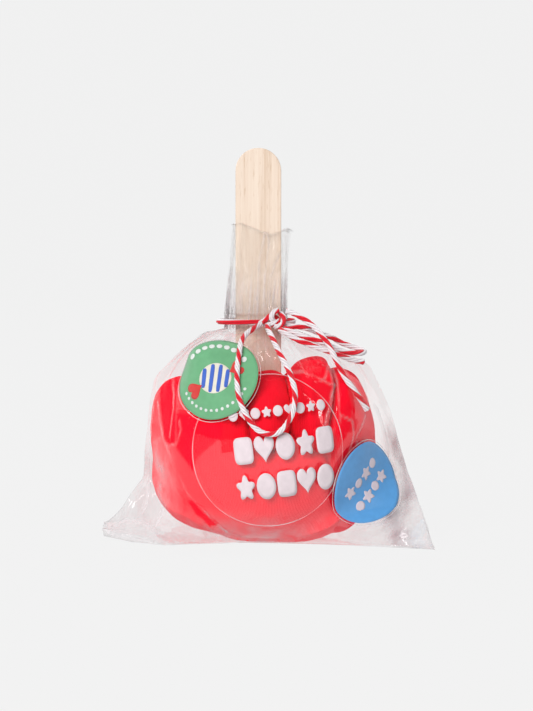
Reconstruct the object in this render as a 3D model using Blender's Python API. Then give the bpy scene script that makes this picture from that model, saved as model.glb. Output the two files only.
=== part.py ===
"""Candy apple keepsake: rolled red socks on a flat stick, in a clear bag tied with twine."""

import math

import bmesh
import bpy
import numpy as np
from mathutils import Vector
from mathutils.bvhtree import BVHTree

MM = 0.001
GAP = 0.3 * MM  # clearance kept between pieces that touch

# Stick: a wide flat craft stick with round ends, standing in the middle
STICK_LENGTH = 150 * MM
STICK_WIDTH = 18 * MM
STICK_THICKNESS = 2 * MM
STICK_BASE = 4 * MM
STICK_X = -3.2 * MM
STICK_END_STEPS = 20
STICK_EDGE = 0.35 * MM

# Filled part of the bag: a ball slightly flattened where it stands
BALL_HALF_WIDTH = 44.4 * MM
BALL_HALF_DEPTH = 40.6 * MM
BALL_MIDDLE = 38 * MM
BALL_RISE = 38 * MM
BALL_DROP = 41 * MM
BALL_SQUARENESS = 2.5
BALL_Y = 0.4 * MM

# Film above the ball: a pleated shoulder, the tied neck and the open collar
SHOULDER_START = 53 * MM
SHOULDER_FULLNESS = 2.3
SHOULDER_SLOPE = 1.3
NECK_X = -4.1 * MM
NECK_Z = 85.6 * MM
NECK_HALF_WIDTH = 13.4 * MM
NECK_HALF_DEPTH = 5.2 * MM
NECK_BAND = 1.5 * MM
COLLAR_TOP = 124 * MM
COLLAR_TOP_X = -1.8 * MM
COLLAR_TOP_HALF_WIDTH = 12.3 * MM
COLLAR_FLARE_Z = 93 * MM
COLLAR_HALF_DEPTH = 4.6 * MM
COLLAR_LIP_DIP = 1.5 * MM
RIM_WAVES = [(1.87 * MM, 1, -2.6), (1.02 * MM, 3, 0.7)]  # height, waves round the rim and turn of each

# Side folds of the bag in millimetres, each point as height, distance out to the side and distance back
RIGHT_FOLD = [
    (0, 66, -38), (6.5, 64.6, -25), (13, 62, -13), (24, 58, -2), (38, 54, 2), (51, 50.2, 2), (60.5, 46.3, 0),
    (68.8, 42.9, 0), (72, 39.3, 0), (74.2, 31.5, 0), (76.2, 26, 0), (84.1, 9.8, 0),
]
LEFT_FOLD = [
    (0, 40, -26), (2.5, 65.2, -9), (6, 66, -5), (12, 59, -3), (24.5, 50.6, 0), (36.4, 49.6, 0), (63.3, 46.5, 0),
    (66, 44.9, 0), (75.2, 36.2, 0), (83, 25.5, 0), (84.1, 17.8, 0),
]
WING_FULLNESS = 0.85  # one is film pulled straight from the ball to the fold, less is a thinner wing
SMALLEST_SPREAD = 1e-6

# The stiff sticker on the left shoulder holds the film out: direction, height, spread and amount
TENT_ANGLE = math.radians(240)
TENT_Z = 77 * MM
TENT_WIDTH = 0.5
TENT_HEIGHT = 6.5 * MM
TENT_SHARE = 0.2

# Rings of the film, in millimetres up from the floor, and the points of each ring
BASE_HEIGHTS = [0, 1.2, 2.5, 4.2, 6, 9, 13, 18]
BALL_HEIGHTS = (24, 60, 7)  # first, last and count, as below
SHOULDER_HEIGHTS = (64, 82, 10)
SHOULDER_LAST = 83.2
COLLAR_RINGS = 5
RING_POINTS = 80
RING_CROWDING = 0.55  # how far the ring's points gather towards the two folds

# Pleats: how many, how unevenly they lie, how shallow they are at the sides, and their depth by height
PLEATS = 13
PLEAT_DRIFT = 0.3
PLEAT_AT_SIDES = 0.2
SHOULDER_PLEAT = 0.11
SHOULDER_PLEAT_RISE = 1.4
NECK_PLEAT = 0.07
COLLAR_PLEAT = 0.15

# Stickers: centre as seen from the front, across and up, then radius and height over the film
STICKER_THICKNESS = 0.2 * MM
STICKER_LIFT = 0.4 * MM
UPPER_LIFT = STICKER_LIFT + STICKER_THICKNESS + GAP  # the coloured stickers lie over the clear one
STICKER_RINGS = 6
STICKER_SECTORS = 36
STICKER_SMALL_STEPS = 4  # steps along the film from one ring of points to the next
FRONT_STICKER = dict(across=0.5 * MM, height=38 * MM, radius=31 * MM, lift=STICKER_LIFT)
LEFT_STICKER = dict(across=-19.5 * MM, height=66 * MM, radius=17.9 * MM, lift=UPPER_LIFT)
RIGHT_STICKER = dict(across=38 * MM, height=23.5 * MM, radius=17.4 * MM, lift=UPPER_LIFT)
WELL_IN_FRONT = -200 * MM

# Twine: its radius, and how far its middle stays off the film so that it clears the stickers
TWINE_RADIUS = 1.1 * MM
TWINE_LIFT = UPPER_LIFT + STICKER_THICKNESS + GAP + TWINE_RADIUS
TWINE_STEP = 3.2 * MM
TWINE_FINE_STEP = 0.25 * MM
CURVE_SAMPLES = 24
LAYING_ROUNDS = 5
EASE_POINTS = 21  # points of the fine route that are evened out together, an odd number
END_SAMPLES = 8
TIE_POINTS = 44
TIE_FINE_STEP = 1.3 * MM

# Windings of the knot in millimetres, in front of the neck on its right, and its packed middle
KNOT_MIDDLE = (2.2, -8.2, 87)
KNOT_HALF_SIZE = (3.6, 2.2, 2.4)
KNOT_WINDINGS = [
    [(5.4, -8, 89.4), (6.6, -10.2, 87.8), (6.4, -12, 86), (5, -12.6, 84.6), (3.4, -11.4, 84.2)],
    [(5, -8.2, 85.8), (3.2, -9.8, 86.2), (2, -10.6, 87.6), (2.6, -10.4, 89.6), (4.6, -9.5, 90.8)],
    [(-2.4, -7.2, 85.2), (-1.9, -9.2, 85.8), (-0.3, -10.2, 87), (1.4, -9.6, 88.4), (2.4, -8, 89.2)],
    [(-0.8, -7.8, 85), (0.6, -10, 85), (2.6, -10.8, 85.4), (4.6, -10, 86.2), (5.6, -8, 86.8)],
]

# Free twine: each route goes from the knot through these places, in millimetres
LOOP_FRONT = [
    (-1.2, -9.6, 85.6), (-3.6, -12.4, 84.4), (-6.4, -15.8, 82.4), (-9.3, -20.4, 79), (-10.8, -27, 73.5),
    (-11.4, -33, 67), (-10.8, -37, 60), (-9, -39, 55), (-6, -41, 49.5), (-1.5, -42, 45.6), (3.5, -42, 45.2),
    (7.5, -41, 48.6), (10.2, -39, 54), (10.6, -37, 61), (8.6, -34, 67.5), (5.4, -29, 73), (2.6, -22, 78),
    (1, -16.6, 81.6), (0.2, -13.2, 83.8), (0.4, -10.6, 85.4),
]
LOOP_SIDE = [
    (4, -9.4, 85.4), (7.4, -9.2, 84.6), (10.6, -8.8, 83.8), (14, -8, 82.9), (18.2, -6.8, 81.2),
    (22.4, -5.4, 79.4), (26.6, -4, 77.8), (30.6, -2.8, 76.6), (34.4, -2.4, 75.6), (37.4, -3.6, 74.8),
    (38.9, -6.2, 74.2), (38.4, -9.2, 73.8), (35.8, -11.4, 73.8), (32, -12.6, 74.3), (27.4, -13.8, 75.4),
    (22.4, -14.4, 77.2), (17.4, -14.2, 79.2), (12.8, -13.6, 80.8), (8.8, -12.6, 82.2), (5.4, -10.8, 84),
]
TAIL_LONG = [
    (3.4, -9.9, 90.3), (5, -9.4, 90.9), (8, -9.4, 90.4), (12, -10.6, 89), (16.2, -13, 86.4), (19.8, -16, 83.4),
    (22.4, -18.6, 80.4), (24.8, -20.8, 76.8), (26.8, -22.2, 72.8), (28.8, -23.2, 68.4), (31.5, -23.4, 63),
    (35, -22.4, 57.5), (38.5, -20, 52.4),
]
TAIL_SHORT = [
    (4, -12, 84.2), (5.8, -15.2, 82.8), (9.4, -17, 80.8), (13.6, -17.8, 79), (18.4, -18, 77.2),
    (23, -17.8, 75.2), (27.6, -16.6, 73.2), (32.6, -14, 71.6), (38, -11.4, 70.6),
]


def clear_scene():
    """Start from an empty scene."""
    for item in list(bpy.data.objects):
        bpy.data.objects.remove(item, do_unlink=True)


def material(name, colour, roughness, alpha=1.0):
    """A Principled material with the piece's own colour."""
    made = bpy.data.materials.new(name)
    made.use_nodes = True
    shader = made.node_tree.nodes["Principled BSDF"]
    shader.inputs["Base Color"].default_value = (*colour, 1.0)
    shader.inputs["Roughness"].default_value = roughness
    shader.inputs["Metallic"].default_value = 0.0
    shader.inputs["Alpha"].default_value = alpha
    return made


def add_object(name, mesh, look):
    """Link a mesh into the scene as one named piece."""
    piece = bpy.data.objects.new(name, mesh)
    mesh.materials.clear()
    mesh.materials.append(look)
    bpy.context.scene.collection.objects.link(piece)
    return piece


def mesh_from(name, vertices, faces):
    """A mesh whose faces are turned outward."""
    mesh = bpy.data.meshes.new(name)
    mesh.from_pydata([tuple(point) for point in vertices], [], faces)
    work = bmesh.new()
    work.from_mesh(mesh)
    bmesh.ops.recalc_face_normals(work, faces=work.faces)
    work.to_mesh(mesh)
    work.free()
    return mesh


def applied_boolean(piece, other, operation):
    """Apply an exact Boolean of two mesh objects and remove the second one."""
    change = piece.modifiers.new("cut", "BOOLEAN")
    change.operation = operation
    change.solver = "EXACT"
    change.object = other
    graph = bpy.context.evaluated_depsgraph_get()
    result = bpy.data.meshes.new_from_object(piece.evaluated_get(graph))
    piece.modifiers.clear()
    piece.data = result
    bpy.data.objects.remove(other, do_unlink=True)


def stick_outline(grow):
    """Outline of the stick in X and Z, round at both ends and grown on every side."""
    radius = STICK_WIDTH / 2 + grow
    low = STICK_BASE + STICK_WIDTH / 2
    high = STICK_BASE + STICK_LENGTH - STICK_WIDTH / 2
    points = []
    for centre, start in ((high, 0.0), (low, math.pi)):
        for step in range(STICK_END_STEPS + 1):
            angle = start + math.pi * step / STICK_END_STEPS
            points.append((STICK_X + radius * math.cos(angle), centre + radius * math.sin(angle)))
    return points


def board(name, outline, thickness):
    """A flat board in the X Z plane, half its thickness on each side of Y = 0."""
    count = len(outline)
    vertices = [(x, -thickness / 2, z) for x, z in outline]
    vertices += [(x, thickness / 2, z) for x, z in outline]
    faces = [list(range(count)), [count + index for index in reversed(range(count))]]
    for index in range(count):
        following = (index + 1) % count
        faces.append([index, index + count, following + count, following])
    return mesh_from(name, vertices, faces)


def make_stick():
    """The flat wooden stick, with its edges slightly eased."""
    wood = material("birch", (0.87, 0.76, 0.62), 0.6)
    stick = add_object("stick", board("stick", stick_outline(0.0), STICK_THICKNESS), wood)
    ease = stick.modifiers.new("ease", "BEVEL")
    ease.width = STICK_EDGE
    ease.segments = 2
    ease.limit_method = "ANGLE"
    ease.angle_limit = math.radians(60)


def ball_scale(height):
    """Share of its full width that the ball has at one height."""
    reach = BALL_RISE if height > BALL_MIDDLE else BALL_DROP
    rise = min(abs(height - BALL_MIDDLE) / reach, 1.0)
    return (1.0 - rise ** BALL_SQUARENESS) ** (1.0 / BALL_SQUARENESS)


def oval_at(height):
    """Middle X, half width and half depth of the film's oval at one height, without its folds."""
    if height <= SHOULDER_START:
        scale = ball_scale(height)
        return 0.0, BALL_HALF_WIDTH * scale, BALL_HALF_DEPTH * scale
    neck_low = NECK_Z - NECK_BAND
    if height <= neck_low:
        share = (height - SHOULDER_START) / (neck_low - SHOULDER_START)
        kept = (1 - share ** SHOULDER_FULLNESS) ** (1 / SHOULDER_SLOPE)
        scale = ball_scale(SHOULDER_START)
        wide = BALL_HALF_WIDTH * scale * kept + NECK_HALF_WIDTH * (1 - kept)
        deep = BALL_HALF_DEPTH * scale * kept + NECK_HALF_DEPTH * (1 - kept)
        return NECK_X * share, wide, deep
    share = max(0.0, (height - COLLAR_FLARE_Z) / (COLLAR_TOP - COLLAR_FLARE_Z))
    wide = NECK_HALF_WIDTH * (1 - share) + COLLAR_TOP_HALF_WIDTH * share
    deep = NECK_HALF_DEPTH * (1 - share) + COLLAR_HALF_DEPTH * share
    return NECK_X * (1 - share) + COLLAR_TOP_X * share, wide, deep


def fold_at(fold, height, side, middle, wide, deep):
    """Direction and distance of a side fold, in units of the oval that it stands out from."""
    heights = [point[0] * MM for point in fold]
    if height > heights[-1]:
        return (0.0 if side > 0 else math.pi), 1.0
    out = np.interp(height, heights, [point[1] * MM for point in fold])
    back = np.interp(height, heights, [point[2] * MM for point in fold])
    across = (side * out - middle) / wide
    along = (back - BALL_Y) / deep
    return math.atan2(along, across), max(1.0, math.hypot(across, along))


def fold_reach(turn, distance):
    """How far the film stands out at an angle from a fold: the straight line to the oval's tangent."""
    spread = math.acos(1.0 / distance)
    if spread < SMALLEST_SPREAD or turn >= spread * WING_FULLNESS:
        return 1.0
    return 1.0 / math.cos(turn / WING_FULLNESS - spread)


def pleat_depth(height):
    """Depth of the pleats at one height, as a share of the oval."""
    neck_low = NECK_Z - NECK_BAND
    neck_high = NECK_Z + NECK_BAND
    if height < neck_low:
        share = max(0.0, (height - SHOULDER_START) / (neck_low - SHOULDER_START))
        return SHOULDER_PLEAT * math.sin(math.pi * share ** SHOULDER_PLEAT_RISE) + NECK_PLEAT * share ** 2
    share = min(1.0, max(0.0, (height - neck_high) / (COLLAR_FLARE_Z - neck_high)))
    return NECK_PLEAT + (COLLAR_PLEAT - NECK_PLEAT) * share


def film_ring(height, is_rim):
    """One closed ring of film points, from the right fold round the back to the left fold."""
    middle, wide, deep = oval_at(height)
    right, right_distance = fold_at(RIGHT_FOLD, height, 1, middle, wide, deep)
    left, left_distance = fold_at(LEFT_FOLD, height, -1, middle, wide, deep)
    left %= 2 * math.pi
    points = []
    for index in range(RING_POINTS):
        place = index / RING_POINTS
        half = (place * 2) % 1.0
        eased = half - RING_CROWDING * math.sin(2 * math.pi * half) / (2 * math.pi)
        if place < 0.5:
            angle = right + (left - right) * eased
            turns = (angle - right, left - angle)
        else:
            angle = left + (right + 2 * math.pi - left) * eased
            turns = (right + 2 * math.pi - angle, angle - left)
        reach = max(fold_reach(turns[0], right_distance), fold_reach(turns[1], left_distance))
        wave = math.cos(2 * math.pi * (PLEATS * place + PLEAT_DRIFT * math.sin(4 * math.pi * place)))
        aside = (angle - TENT_ANGLE) / TENT_WIDTH
        above = (height - TENT_Z) / TENT_HEIGHT
        reach *= 1 + TENT_SHARE * math.exp(-aside ** 2 - above ** 2)
        damping = PLEAT_AT_SIDES + (1 - PLEAT_AT_SIDES) * abs(math.sin(angle))
        reach *= 1 - pleat_depth(height) * damping * (0.5 - 0.5 * wave)
        rise = height
        if is_rim:
            rise += sum(size * math.cos(count * angle + turn) for size, count, turn in RIM_WAVES)
        points.append((middle + wide * reach * math.cos(angle), BALL_Y + deep * reach * math.sin(angle), rise))
    return points


def film_heights():
    """Heights of the film's rings, close together where the shape changes quickly."""
    filled = BASE_HEIGHTS + list(np.linspace(*BALL_HEIGHTS))
    shoulder = list(np.linspace(*SHOULDER_HEIGHTS)) + [SHOULDER_LAST]
    neck = [NECK_Z - NECK_BAND, NECK_Z, NECK_Z + NECK_BAND]
    collar = list(np.linspace(COLLAR_FLARE_Z, COLLAR_TOP, COLLAR_RINGS))
    return [height * MM for height in filled + shoulder] + neck + collar


def make_bag():
    """The tied bag with the rolled socks in it, one solid with a slot for the stick, and its surface."""
    film = material("clear film over red knit", (0.80, 0.05, 0.07), 0.35)
    heights = film_heights()
    vertices = []
    for height in heights:
        vertices += film_ring(height, height == heights[-1])
    faces = [list(reversed(range(RING_POINTS)))]
    for level in range(len(heights) - 1):
        start = level * RING_POINTS
        for index in range(RING_POINTS):
            following = (index + 1) % RING_POINTS
            faces.append([
                start + index,
                start + following,
                start + following + RING_POINTS,
                start + index + RING_POINTS,
            ])
    top = len(vertices)
    vertices.append((COLLAR_TOP_X, BALL_Y, COLLAR_TOP - COLLAR_LIP_DIP))
    rim = top - RING_POINTS
    for index in range(RING_POINTS):
        faces.append([rim + index, rim + (index + 1) % RING_POINTS, top])
    bag = add_object("bag", mesh_from("bag", vertices, faces), film)
    surface = surface_tree(bag.data)
    slot = board("slot", stick_outline(GAP), STICK_THICKNESS + 2 * GAP)
    cutter = add_object("slot", slot, film)
    applied_boolean(bag, cutter, "DIFFERENCE")
    return surface


def surface_tree(mesh):
    """Search tree for the nearest point of a mesh."""
    work = bmesh.new()
    work.from_mesh(mesh)
    bmesh.ops.triangulate(work, faces=work.faces)
    tree = BVHTree.FromBMesh(work)
    work.free()
    return tree


def make_sticker(name, surface, look, across, height, radius, lift):
    """A thin round sticker, laid out from its centre by equal steps along the film."""
    start = Vector((across, WELL_IN_FRONT, height))
    middle, normal, _, _ = surface.ray_cast(start, Vector((0, 1, 0)))
    side = Vector((0, 0, 1)).cross(normal).normalized()
    rise = normal.cross(side).normalized()
    layers = [[(middle, normal)]]
    spokes = []
    for sector in range(STICKER_SECTORS):
        angle = 2 * math.pi * sector / STICKER_SECTORS
        heading = side * math.cos(angle) + rise * math.sin(angle)
        spoke = []
        place = middle
        step = radius / STICKER_RINGS / STICKER_SMALL_STEPS
        for small in range(STICKER_RINGS * STICKER_SMALL_STEPS):
            place, turned, _, _ = surface.find_nearest(place + heading * step)
            heading = (heading - turned * heading.dot(turned)).normalized()
            if small % STICKER_SMALL_STEPS == STICKER_SMALL_STEPS - 1:
                spoke.append((place, turned))
        spokes.append(spoke)
    for ring in range(STICKER_RINGS):
        layers.append([spoke[ring] for spoke in spokes])
    vertices = []
    for side_lift in (lift, lift + STICKER_THICKNESS):
        for layer in layers:
            vertices += [place + turned * side_lift for place, turned in layer]
    return add_object(name, mesh_from(name, vertices, sticker_faces()), look)


def sticker_faces():
    """Faces of a round sheet with an inner side, an outer side and an edge between them."""
    sheet = 1 + STICKER_RINGS * STICKER_SECTORS
    faces = []
    for base in (0, sheet):
        for sector in range(STICKER_SECTORS):
            following = (sector + 1) % STICKER_SECTORS
            faces.append([base, base + 1 + sector, base + 1 + following])
            for ring in range(STICKER_RINGS - 1):
                inner = base + 1 + ring * STICKER_SECTORS
                outer = inner + STICKER_SECTORS
                faces.append([inner + sector, outer + sector, outer + following, inner + following])
    edge = 1 + (STICKER_RINGS - 1) * STICKER_SECTORS
    for sector in range(STICKER_SECTORS):
        following = (sector + 1) % STICKER_SECTORS
        faces.append([edge + sector, sheet + edge + sector, sheet + edge + following, edge + following])
    return faces


def smooth_route(places, step):
    """Evenly spaced points on a smooth curve through chosen places, step apart or a little less."""
    knots = np.array(places, dtype=float) * MM
    before = 2 * knots[0] - knots[1]
    after = 2 * knots[-1] - knots[-2]
    knots = np.vstack([before, knots, after])
    dense = []
    for index in range(1, len(knots) - 2):
        a, b, c, d = knots[index - 1:index + 3]
        for share in np.linspace(0, 1, CURVE_SAMPLES, endpoint=False):
            bend = (2 * a - 5 * b + 4 * c - d) * share ** 2 + (3 * b - a - 3 * c + d) * share ** 3
            dense.append(0.5 * (2 * b + (c - a) * share + bend))
    dense.append(knots[-2])
    return evenly(np.array(dense), step)


def evenly(dense, step):
    """Points spaced evenly along a line."""
    run = np.concatenate([[0.0], np.cumsum(np.linalg.norm(np.diff(dense, axis=0), axis=1))])
    count = max(2, math.ceil(run[-1] / step) + 1)
    places = np.linspace(0, run[-1], count)
    return np.stack([np.interp(places, run, dense[:, axis]) for axis in range(3)], axis=1)


def eased(route):
    """The same route with its small kinks evened out and its ends kept."""
    weights = np.hanning(EASE_POINTS + 2)[1:-1]
    half = EASE_POINTS // 2
    before = 2 * route[0] - route[half:0:-1]
    after = 2 * route[-1] - route[-2:-half - 2:-1]
    longer = np.vstack([before, route, after])
    return np.stack([np.convolve(longer[:, axis], weights / weights.sum(), "valid") for axis in range(3)], axis=1)


def laid_on(route, surface):
    """Push a route out until the twine is clear of the film, evening out the kinks that this makes."""
    for _ in range(LAYING_ROUNDS):
        moved = []
        for point in route:
            place, normal, _, _ = surface.find_nearest(Vector(point))
            outside = (Vector(point) - place).dot(normal)
            moved.append(point + np.array(normal) * max(0.0, TWINE_LIFT - outside))
        route = eased(np.array(moved))
    return route


def end_is_clear(point, heading, tree):
    """True where the flat end of the twine stands clear of the knot."""
    aim = Vector(heading).normalized()
    side = aim.orthogonal().normalized()
    turn = aim.cross(side)
    for step in range(END_SAMPLES + 1):
        angle = 2 * math.pi * step / END_SAMPLES
        reach = TWINE_RADIUS if step < END_SAMPLES else 0.0
        place = Vector(point) + (side * math.cos(angle) + turn * math.sin(angle)) * reach
        nearest, normal, _, distance = tree.find_nearest(place)
        if distance < GAP or (place - nearest).dot(normal) < 0:
            return False
    return True


def trimmed(route, tree, both_ends):
    """Cut a route back to where it leaves the knot."""
    first = 0
    while not end_is_clear(route[first], route[first + 1] - route[first], tree):
        first += 1
    last = len(route) - 1
    while both_ends and not end_is_clear(route[last], route[last] - route[last - 1], tree):
        last -= 1
    return route[first:last + 1]


def tube(name, route, look, closed=False):
    """A round tube along a route, as a curve object with filled ends."""
    curve = bpy.data.curves.new(name, "CURVE")
    curve.dimensions = "3D"
    curve.bevel_depth = TWINE_RADIUS
    curve.bevel_resolution = 2
    curve.use_fill_caps = not closed
    line = curve.splines.new("POLY")
    line.points.add(len(route) - 1)
    for index, point in enumerate(route):
        line.points[index].co = (*point, 1.0)
    line.use_cyclic_u = closed
    curve.materials.append(look)
    piece = bpy.data.objects.new(name, curve)
    bpy.context.scene.collection.objects.link(piece)
    return piece


def solid_tube(name, route, look, closed=False):
    """The same tube as a mesh, ready to be joined with others."""
    piece = tube(name, route, look, closed)
    graph = bpy.context.evaluated_depsgraph_get()
    mesh = bpy.data.meshes.new_from_object(piece.evaluated_get(graph))
    bpy.data.objects.remove(piece, do_unlink=True)
    return add_object(name, mesh, look)


def make_tie(look):
    """The twine tied round the neck, with its knot, as one solid."""
    across = NECK_HALF_WIDTH + GAP + TWINE_RADIUS
    along = NECK_HALF_DEPTH + GAP + TWINE_RADIUS
    ring = []
    for index in range(TIE_POINTS):
        angle = 2 * math.pi * index / TIE_POINTS
        ring.append((NECK_X + across * math.cos(angle), BALL_Y + along * math.sin(angle), NECK_Z))
    tie = solid_tube("twine_tie", ring, look, closed=True)
    core = bmesh.new()
    bmesh.ops.create_icosphere(core, subdivisions=2, radius=1.0)
    bmesh.ops.scale(core, vec=Vector(KNOT_HALF_SIZE) * MM, verts=core.verts)
    bmesh.ops.translate(core, vec=Vector(KNOT_MIDDLE) * MM, verts=core.verts)
    mesh = bpy.data.meshes.new("knot")
    core.to_mesh(mesh)
    core.free()
    applied_boolean(tie, add_object("knot", mesh, look), "UNION")
    for winding in KNOT_WINDINGS:
        route = smooth_route(winding, TIE_FINE_STEP)
        applied_boolean(tie, solid_tube("winding", route, look), "UNION")
    return tie


def make_free_twine(surface, tie, look):
    """The two loops of the bow and its two loose ends."""
    tree = surface_tree(tie.data)
    routes = [
        ("twine_loop_front", LOOP_FRONT, True),
        ("twine_loop_side", LOOP_SIDE, True),
        ("twine_end_long", TAIL_LONG, False),
        ("twine_end_short", TAIL_SHORT, False),
    ]
    for name, places, both_ends in routes:
        route = laid_on(smooth_route(places, TWINE_FINE_STEP), surface)
        route = trimmed(route, tree, both_ends)
        tube(name, evenly(route, TWINE_STEP), look)


def main():
    """Build every piece."""
    clear_scene()
    make_stick()
    surface = make_bag()
    clear_label = material("clear label", (0.90, 0.25, 0.27), 0.3)
    green = material("green sticker", (0.17, 0.47, 0.27), 0.4)
    blue = material("blue sticker", (0.08, 0.27, 0.58), 0.4)
    make_sticker("sticker_front", surface, clear_label, **FRONT_STICKER)
    make_sticker("sticker_left", surface, green, **LEFT_STICKER)
    make_sticker("sticker_right", surface, blue, **RIGHT_STICKER)
    twine = material("red and white twine", (0.85, 0.35, 0.38), 0.8)
    make_free_twine(surface, make_tie(twine), twine)


main()
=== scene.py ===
import math

import bmesh
import bpy
import numpy as np
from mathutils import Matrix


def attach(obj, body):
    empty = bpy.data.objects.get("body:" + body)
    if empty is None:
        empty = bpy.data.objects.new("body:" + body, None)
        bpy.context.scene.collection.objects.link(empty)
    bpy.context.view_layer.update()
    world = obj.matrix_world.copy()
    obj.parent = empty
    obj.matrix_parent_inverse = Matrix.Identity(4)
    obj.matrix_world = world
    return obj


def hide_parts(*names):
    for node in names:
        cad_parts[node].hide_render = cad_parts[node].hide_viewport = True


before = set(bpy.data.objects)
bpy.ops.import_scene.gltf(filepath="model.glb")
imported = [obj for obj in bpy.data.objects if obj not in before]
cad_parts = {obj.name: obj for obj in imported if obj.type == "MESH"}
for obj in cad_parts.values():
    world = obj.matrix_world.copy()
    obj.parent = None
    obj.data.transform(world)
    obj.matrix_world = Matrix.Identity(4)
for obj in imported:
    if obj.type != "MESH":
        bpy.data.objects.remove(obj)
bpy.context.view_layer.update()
mm = 0.001
up = np.array([0.0, 0.0, 1.0])


# small makers: nodes, materials and meshes

def addNode(tree, kind, inputs=None, **settings):
    # one shader node; an input is a plain value, or the socket that feeds it
    node = tree.nodes.new(kind)
    for key, value in settings.items():
        setattr(node, key, value)
    for key, value in (inputs or {}).items():
        if isinstance(value, bpy.types.NodeSocket):
            tree.links.new(value, node.inputs[key])
        else:
            node.inputs[key].default_value = value
    return node


def startMaterial(name, values):
    # a Principled material with its constant values set on the shader itself
    made = bpy.data.materials.new(name)
    made.use_nodes = True
    shader = made.node_tree.nodes["Principled BSDF"]
    for key, value in values.items():
        shader.inputs[key].default_value = value
    return made, made.node_tree, shader


def ramp(tree, factor, stops):
    # colours along a factor, each stop as place and colour
    node = addNode(tree, "ShaderNodeValToRGB", {"Fac": factor})
    bar = node.color_ramp
    while len(bar.elements) < len(stops):
        bar.elements.new(0.5)
    for element, (place, colour) in zip(bar.elements, stops):
        element.position = place
        element.color = (*colour, 1.0)
    return node.outputs["Color"]


def rangeOf(tree, value, low, high, newLow, newHigh):
    # a value moved in proportion from one range to another, and kept inside it
    node = addNode(tree, "ShaderNodeMapRange", {
        "Value": value, "From Min": low, "From Max": high, "To Min": newLow, "To Max": newHigh,
    })
    return node.outputs["Result"]


def noiseOn(tree, vector, scale, detail=2.0, roughness=0.5):
    # cloudy noise from 0 to 1
    node = addNode(tree, "ShaderNodeTexNoise", {
        "Vector": vector, "Scale": scale, "Detail": detail, "Roughness": roughness,
    })
    return node.outputs["Fac"]


def scaled(tree, vector, scale):
    # coordinates multiplied axis by axis
    node = addNode(tree, "ShaderNodeMapping", {"Vector": vector, "Scale": scale})
    return node.outputs["Vector"]


def worked(tree, operation, first, second=0.0):
    # one step of arithmetic on one or two values
    node = addNode(tree, "ShaderNodeMath", {0: first, 1: second}, operation=operation)
    return node.outputs["Value"]


def mixed(tree, share, first, second):
    # from the first colour to the second
    node = addNode(tree, "ShaderNodeMix", {0: share, 6: first, 7: second}, data_type="RGBA")
    return node.outputs[2]


def glossShare(tree, straight, grazing):
    # share of light that a clear sheet mirrors, the same from both sides: a + (b - a) (1 - cos) ^ 5
    facing = addNode(tree, "ShaderNodeLayerWeight", {"Blend": 0.5}).outputs["Facing"]
    return rangeOf(tree, worked(tree, "POWER", facing, 5.0), 0.0, 1.0, straight, grazing)


def bumpOn(tree, shader, height, distance, strength):
    # relief on the shader from a height
    node = addNode(tree, "ShaderNodeBump", {"Height": height, "Distance": distance, "Strength": strength})
    tree.links.new(node.outputs["Normal"], shader.inputs["Normal"])


def pieceFrom(name, points, faces, materials, uv=None, faceMaterial=None, smooth=True):
    # one object at the origin from arrays of points and faces, uv given for each point
    mesh = bpy.data.meshes.new(name)
    mesh.from_pydata(np.asarray(points, float).tolist(), [], [list(face) for face in faces])
    for made in materials:
        mesh.materials.append(made)
    if uv is not None:
        corner = np.zeros(len(mesh.loops), np.int32)
        mesh.loops.foreach_get("vertex_index", corner)
        layer = mesh.uv_layers.new(name="uv")
        layer.data.foreach_set("uv", np.asarray(uv, np.float32)[corner].ravel())
    if faceMaterial is not None:
        mesh.polygons.foreach_set("material_index", np.asarray(faceMaterial, np.int32))
    mesh.polygons.foreach_set("use_smooth", np.zeros(len(mesh.polygons), bool) | smooth)
    mesh.update()
    piece = bpy.data.objects.new(name, mesh)
    bpy.context.scene.collection.objects.link(piece)
    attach(piece, "root")
    return piece


def gridFaces(rows, columns, closed=True):
    # quads of a grid whose columns run round a form, rows from the first ring to the last
    across = columns if closed else columns - 1
    row, column = np.meshgrid(np.arange(rows - 1), np.arange(across), indexing="ij")
    after = (column + 1) % columns
    low, high = row * columns, (row + 1) * columns
    return np.stack([low + column, low + after, high + after, high + column], axis=-1).reshape(-1, 4).tolist()


def capFaces(ring, columns, centre, flipped):
    # triangles from one ring to its centre point
    column = np.arange(columns)
    after = (column + 1) % columns
    sides = (ring + after, ring + column) if flipped else (ring + column, ring + after)
    return np.stack([*sides, np.full(columns, centre)], axis=-1).tolist()


def closedFaces(rows, columns):
    # quads round a form, and triangles to a centre point at each end; both centres follow the grid's points
    total = rows * columns
    last = total - columns
    return gridFaces(rows, columns) + capFaces(0, columns, total, True) + capFaces(last, columns, total + 1, False)


def giveAttribute(piece, name, values):
    # one number for each point of a piece, for its material to read
    layer = piece.data.attributes.new(name, "FLOAT", "POINT")
    layer.data.foreach_set("value", np.asarray(values, np.float32))


def halved(near, far, times, goesOn):
    # narrows each span down to the place where a condition stops holding, by halving it
    for _ in range(times):
        between = (near + far) / 2
        onward = goesOn(between)
        near = np.where(onward, between, near)
        far = np.where(onward, far, between)
    return near, far


def unit(vectors):
    # the same directions with length 1
    return vectors / np.maximum(np.linalg.norm(vectors, axis=-1, keepdims=True), 1e-12)


def smoothStep(values, low, high):
    # 0 below low, 1 above high, and s^2 (3 - 2 s) between them
    share = np.clip((values - low) / (high - low), 0, 1)
    return share * share * (3 - 2 * share)


def grown(values, span):
    # the same between two places in millimetres; with minus signs on both it grows the other way
    return smoothStep(values, span[0] * mm, span[1] * mm)


def triangleWave(phase):
    # from 0 at whole numbers up to 1 half way between them, in straight lines
    return np.abs(2 * (phase - np.floor(phase + 0.5)))


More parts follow.
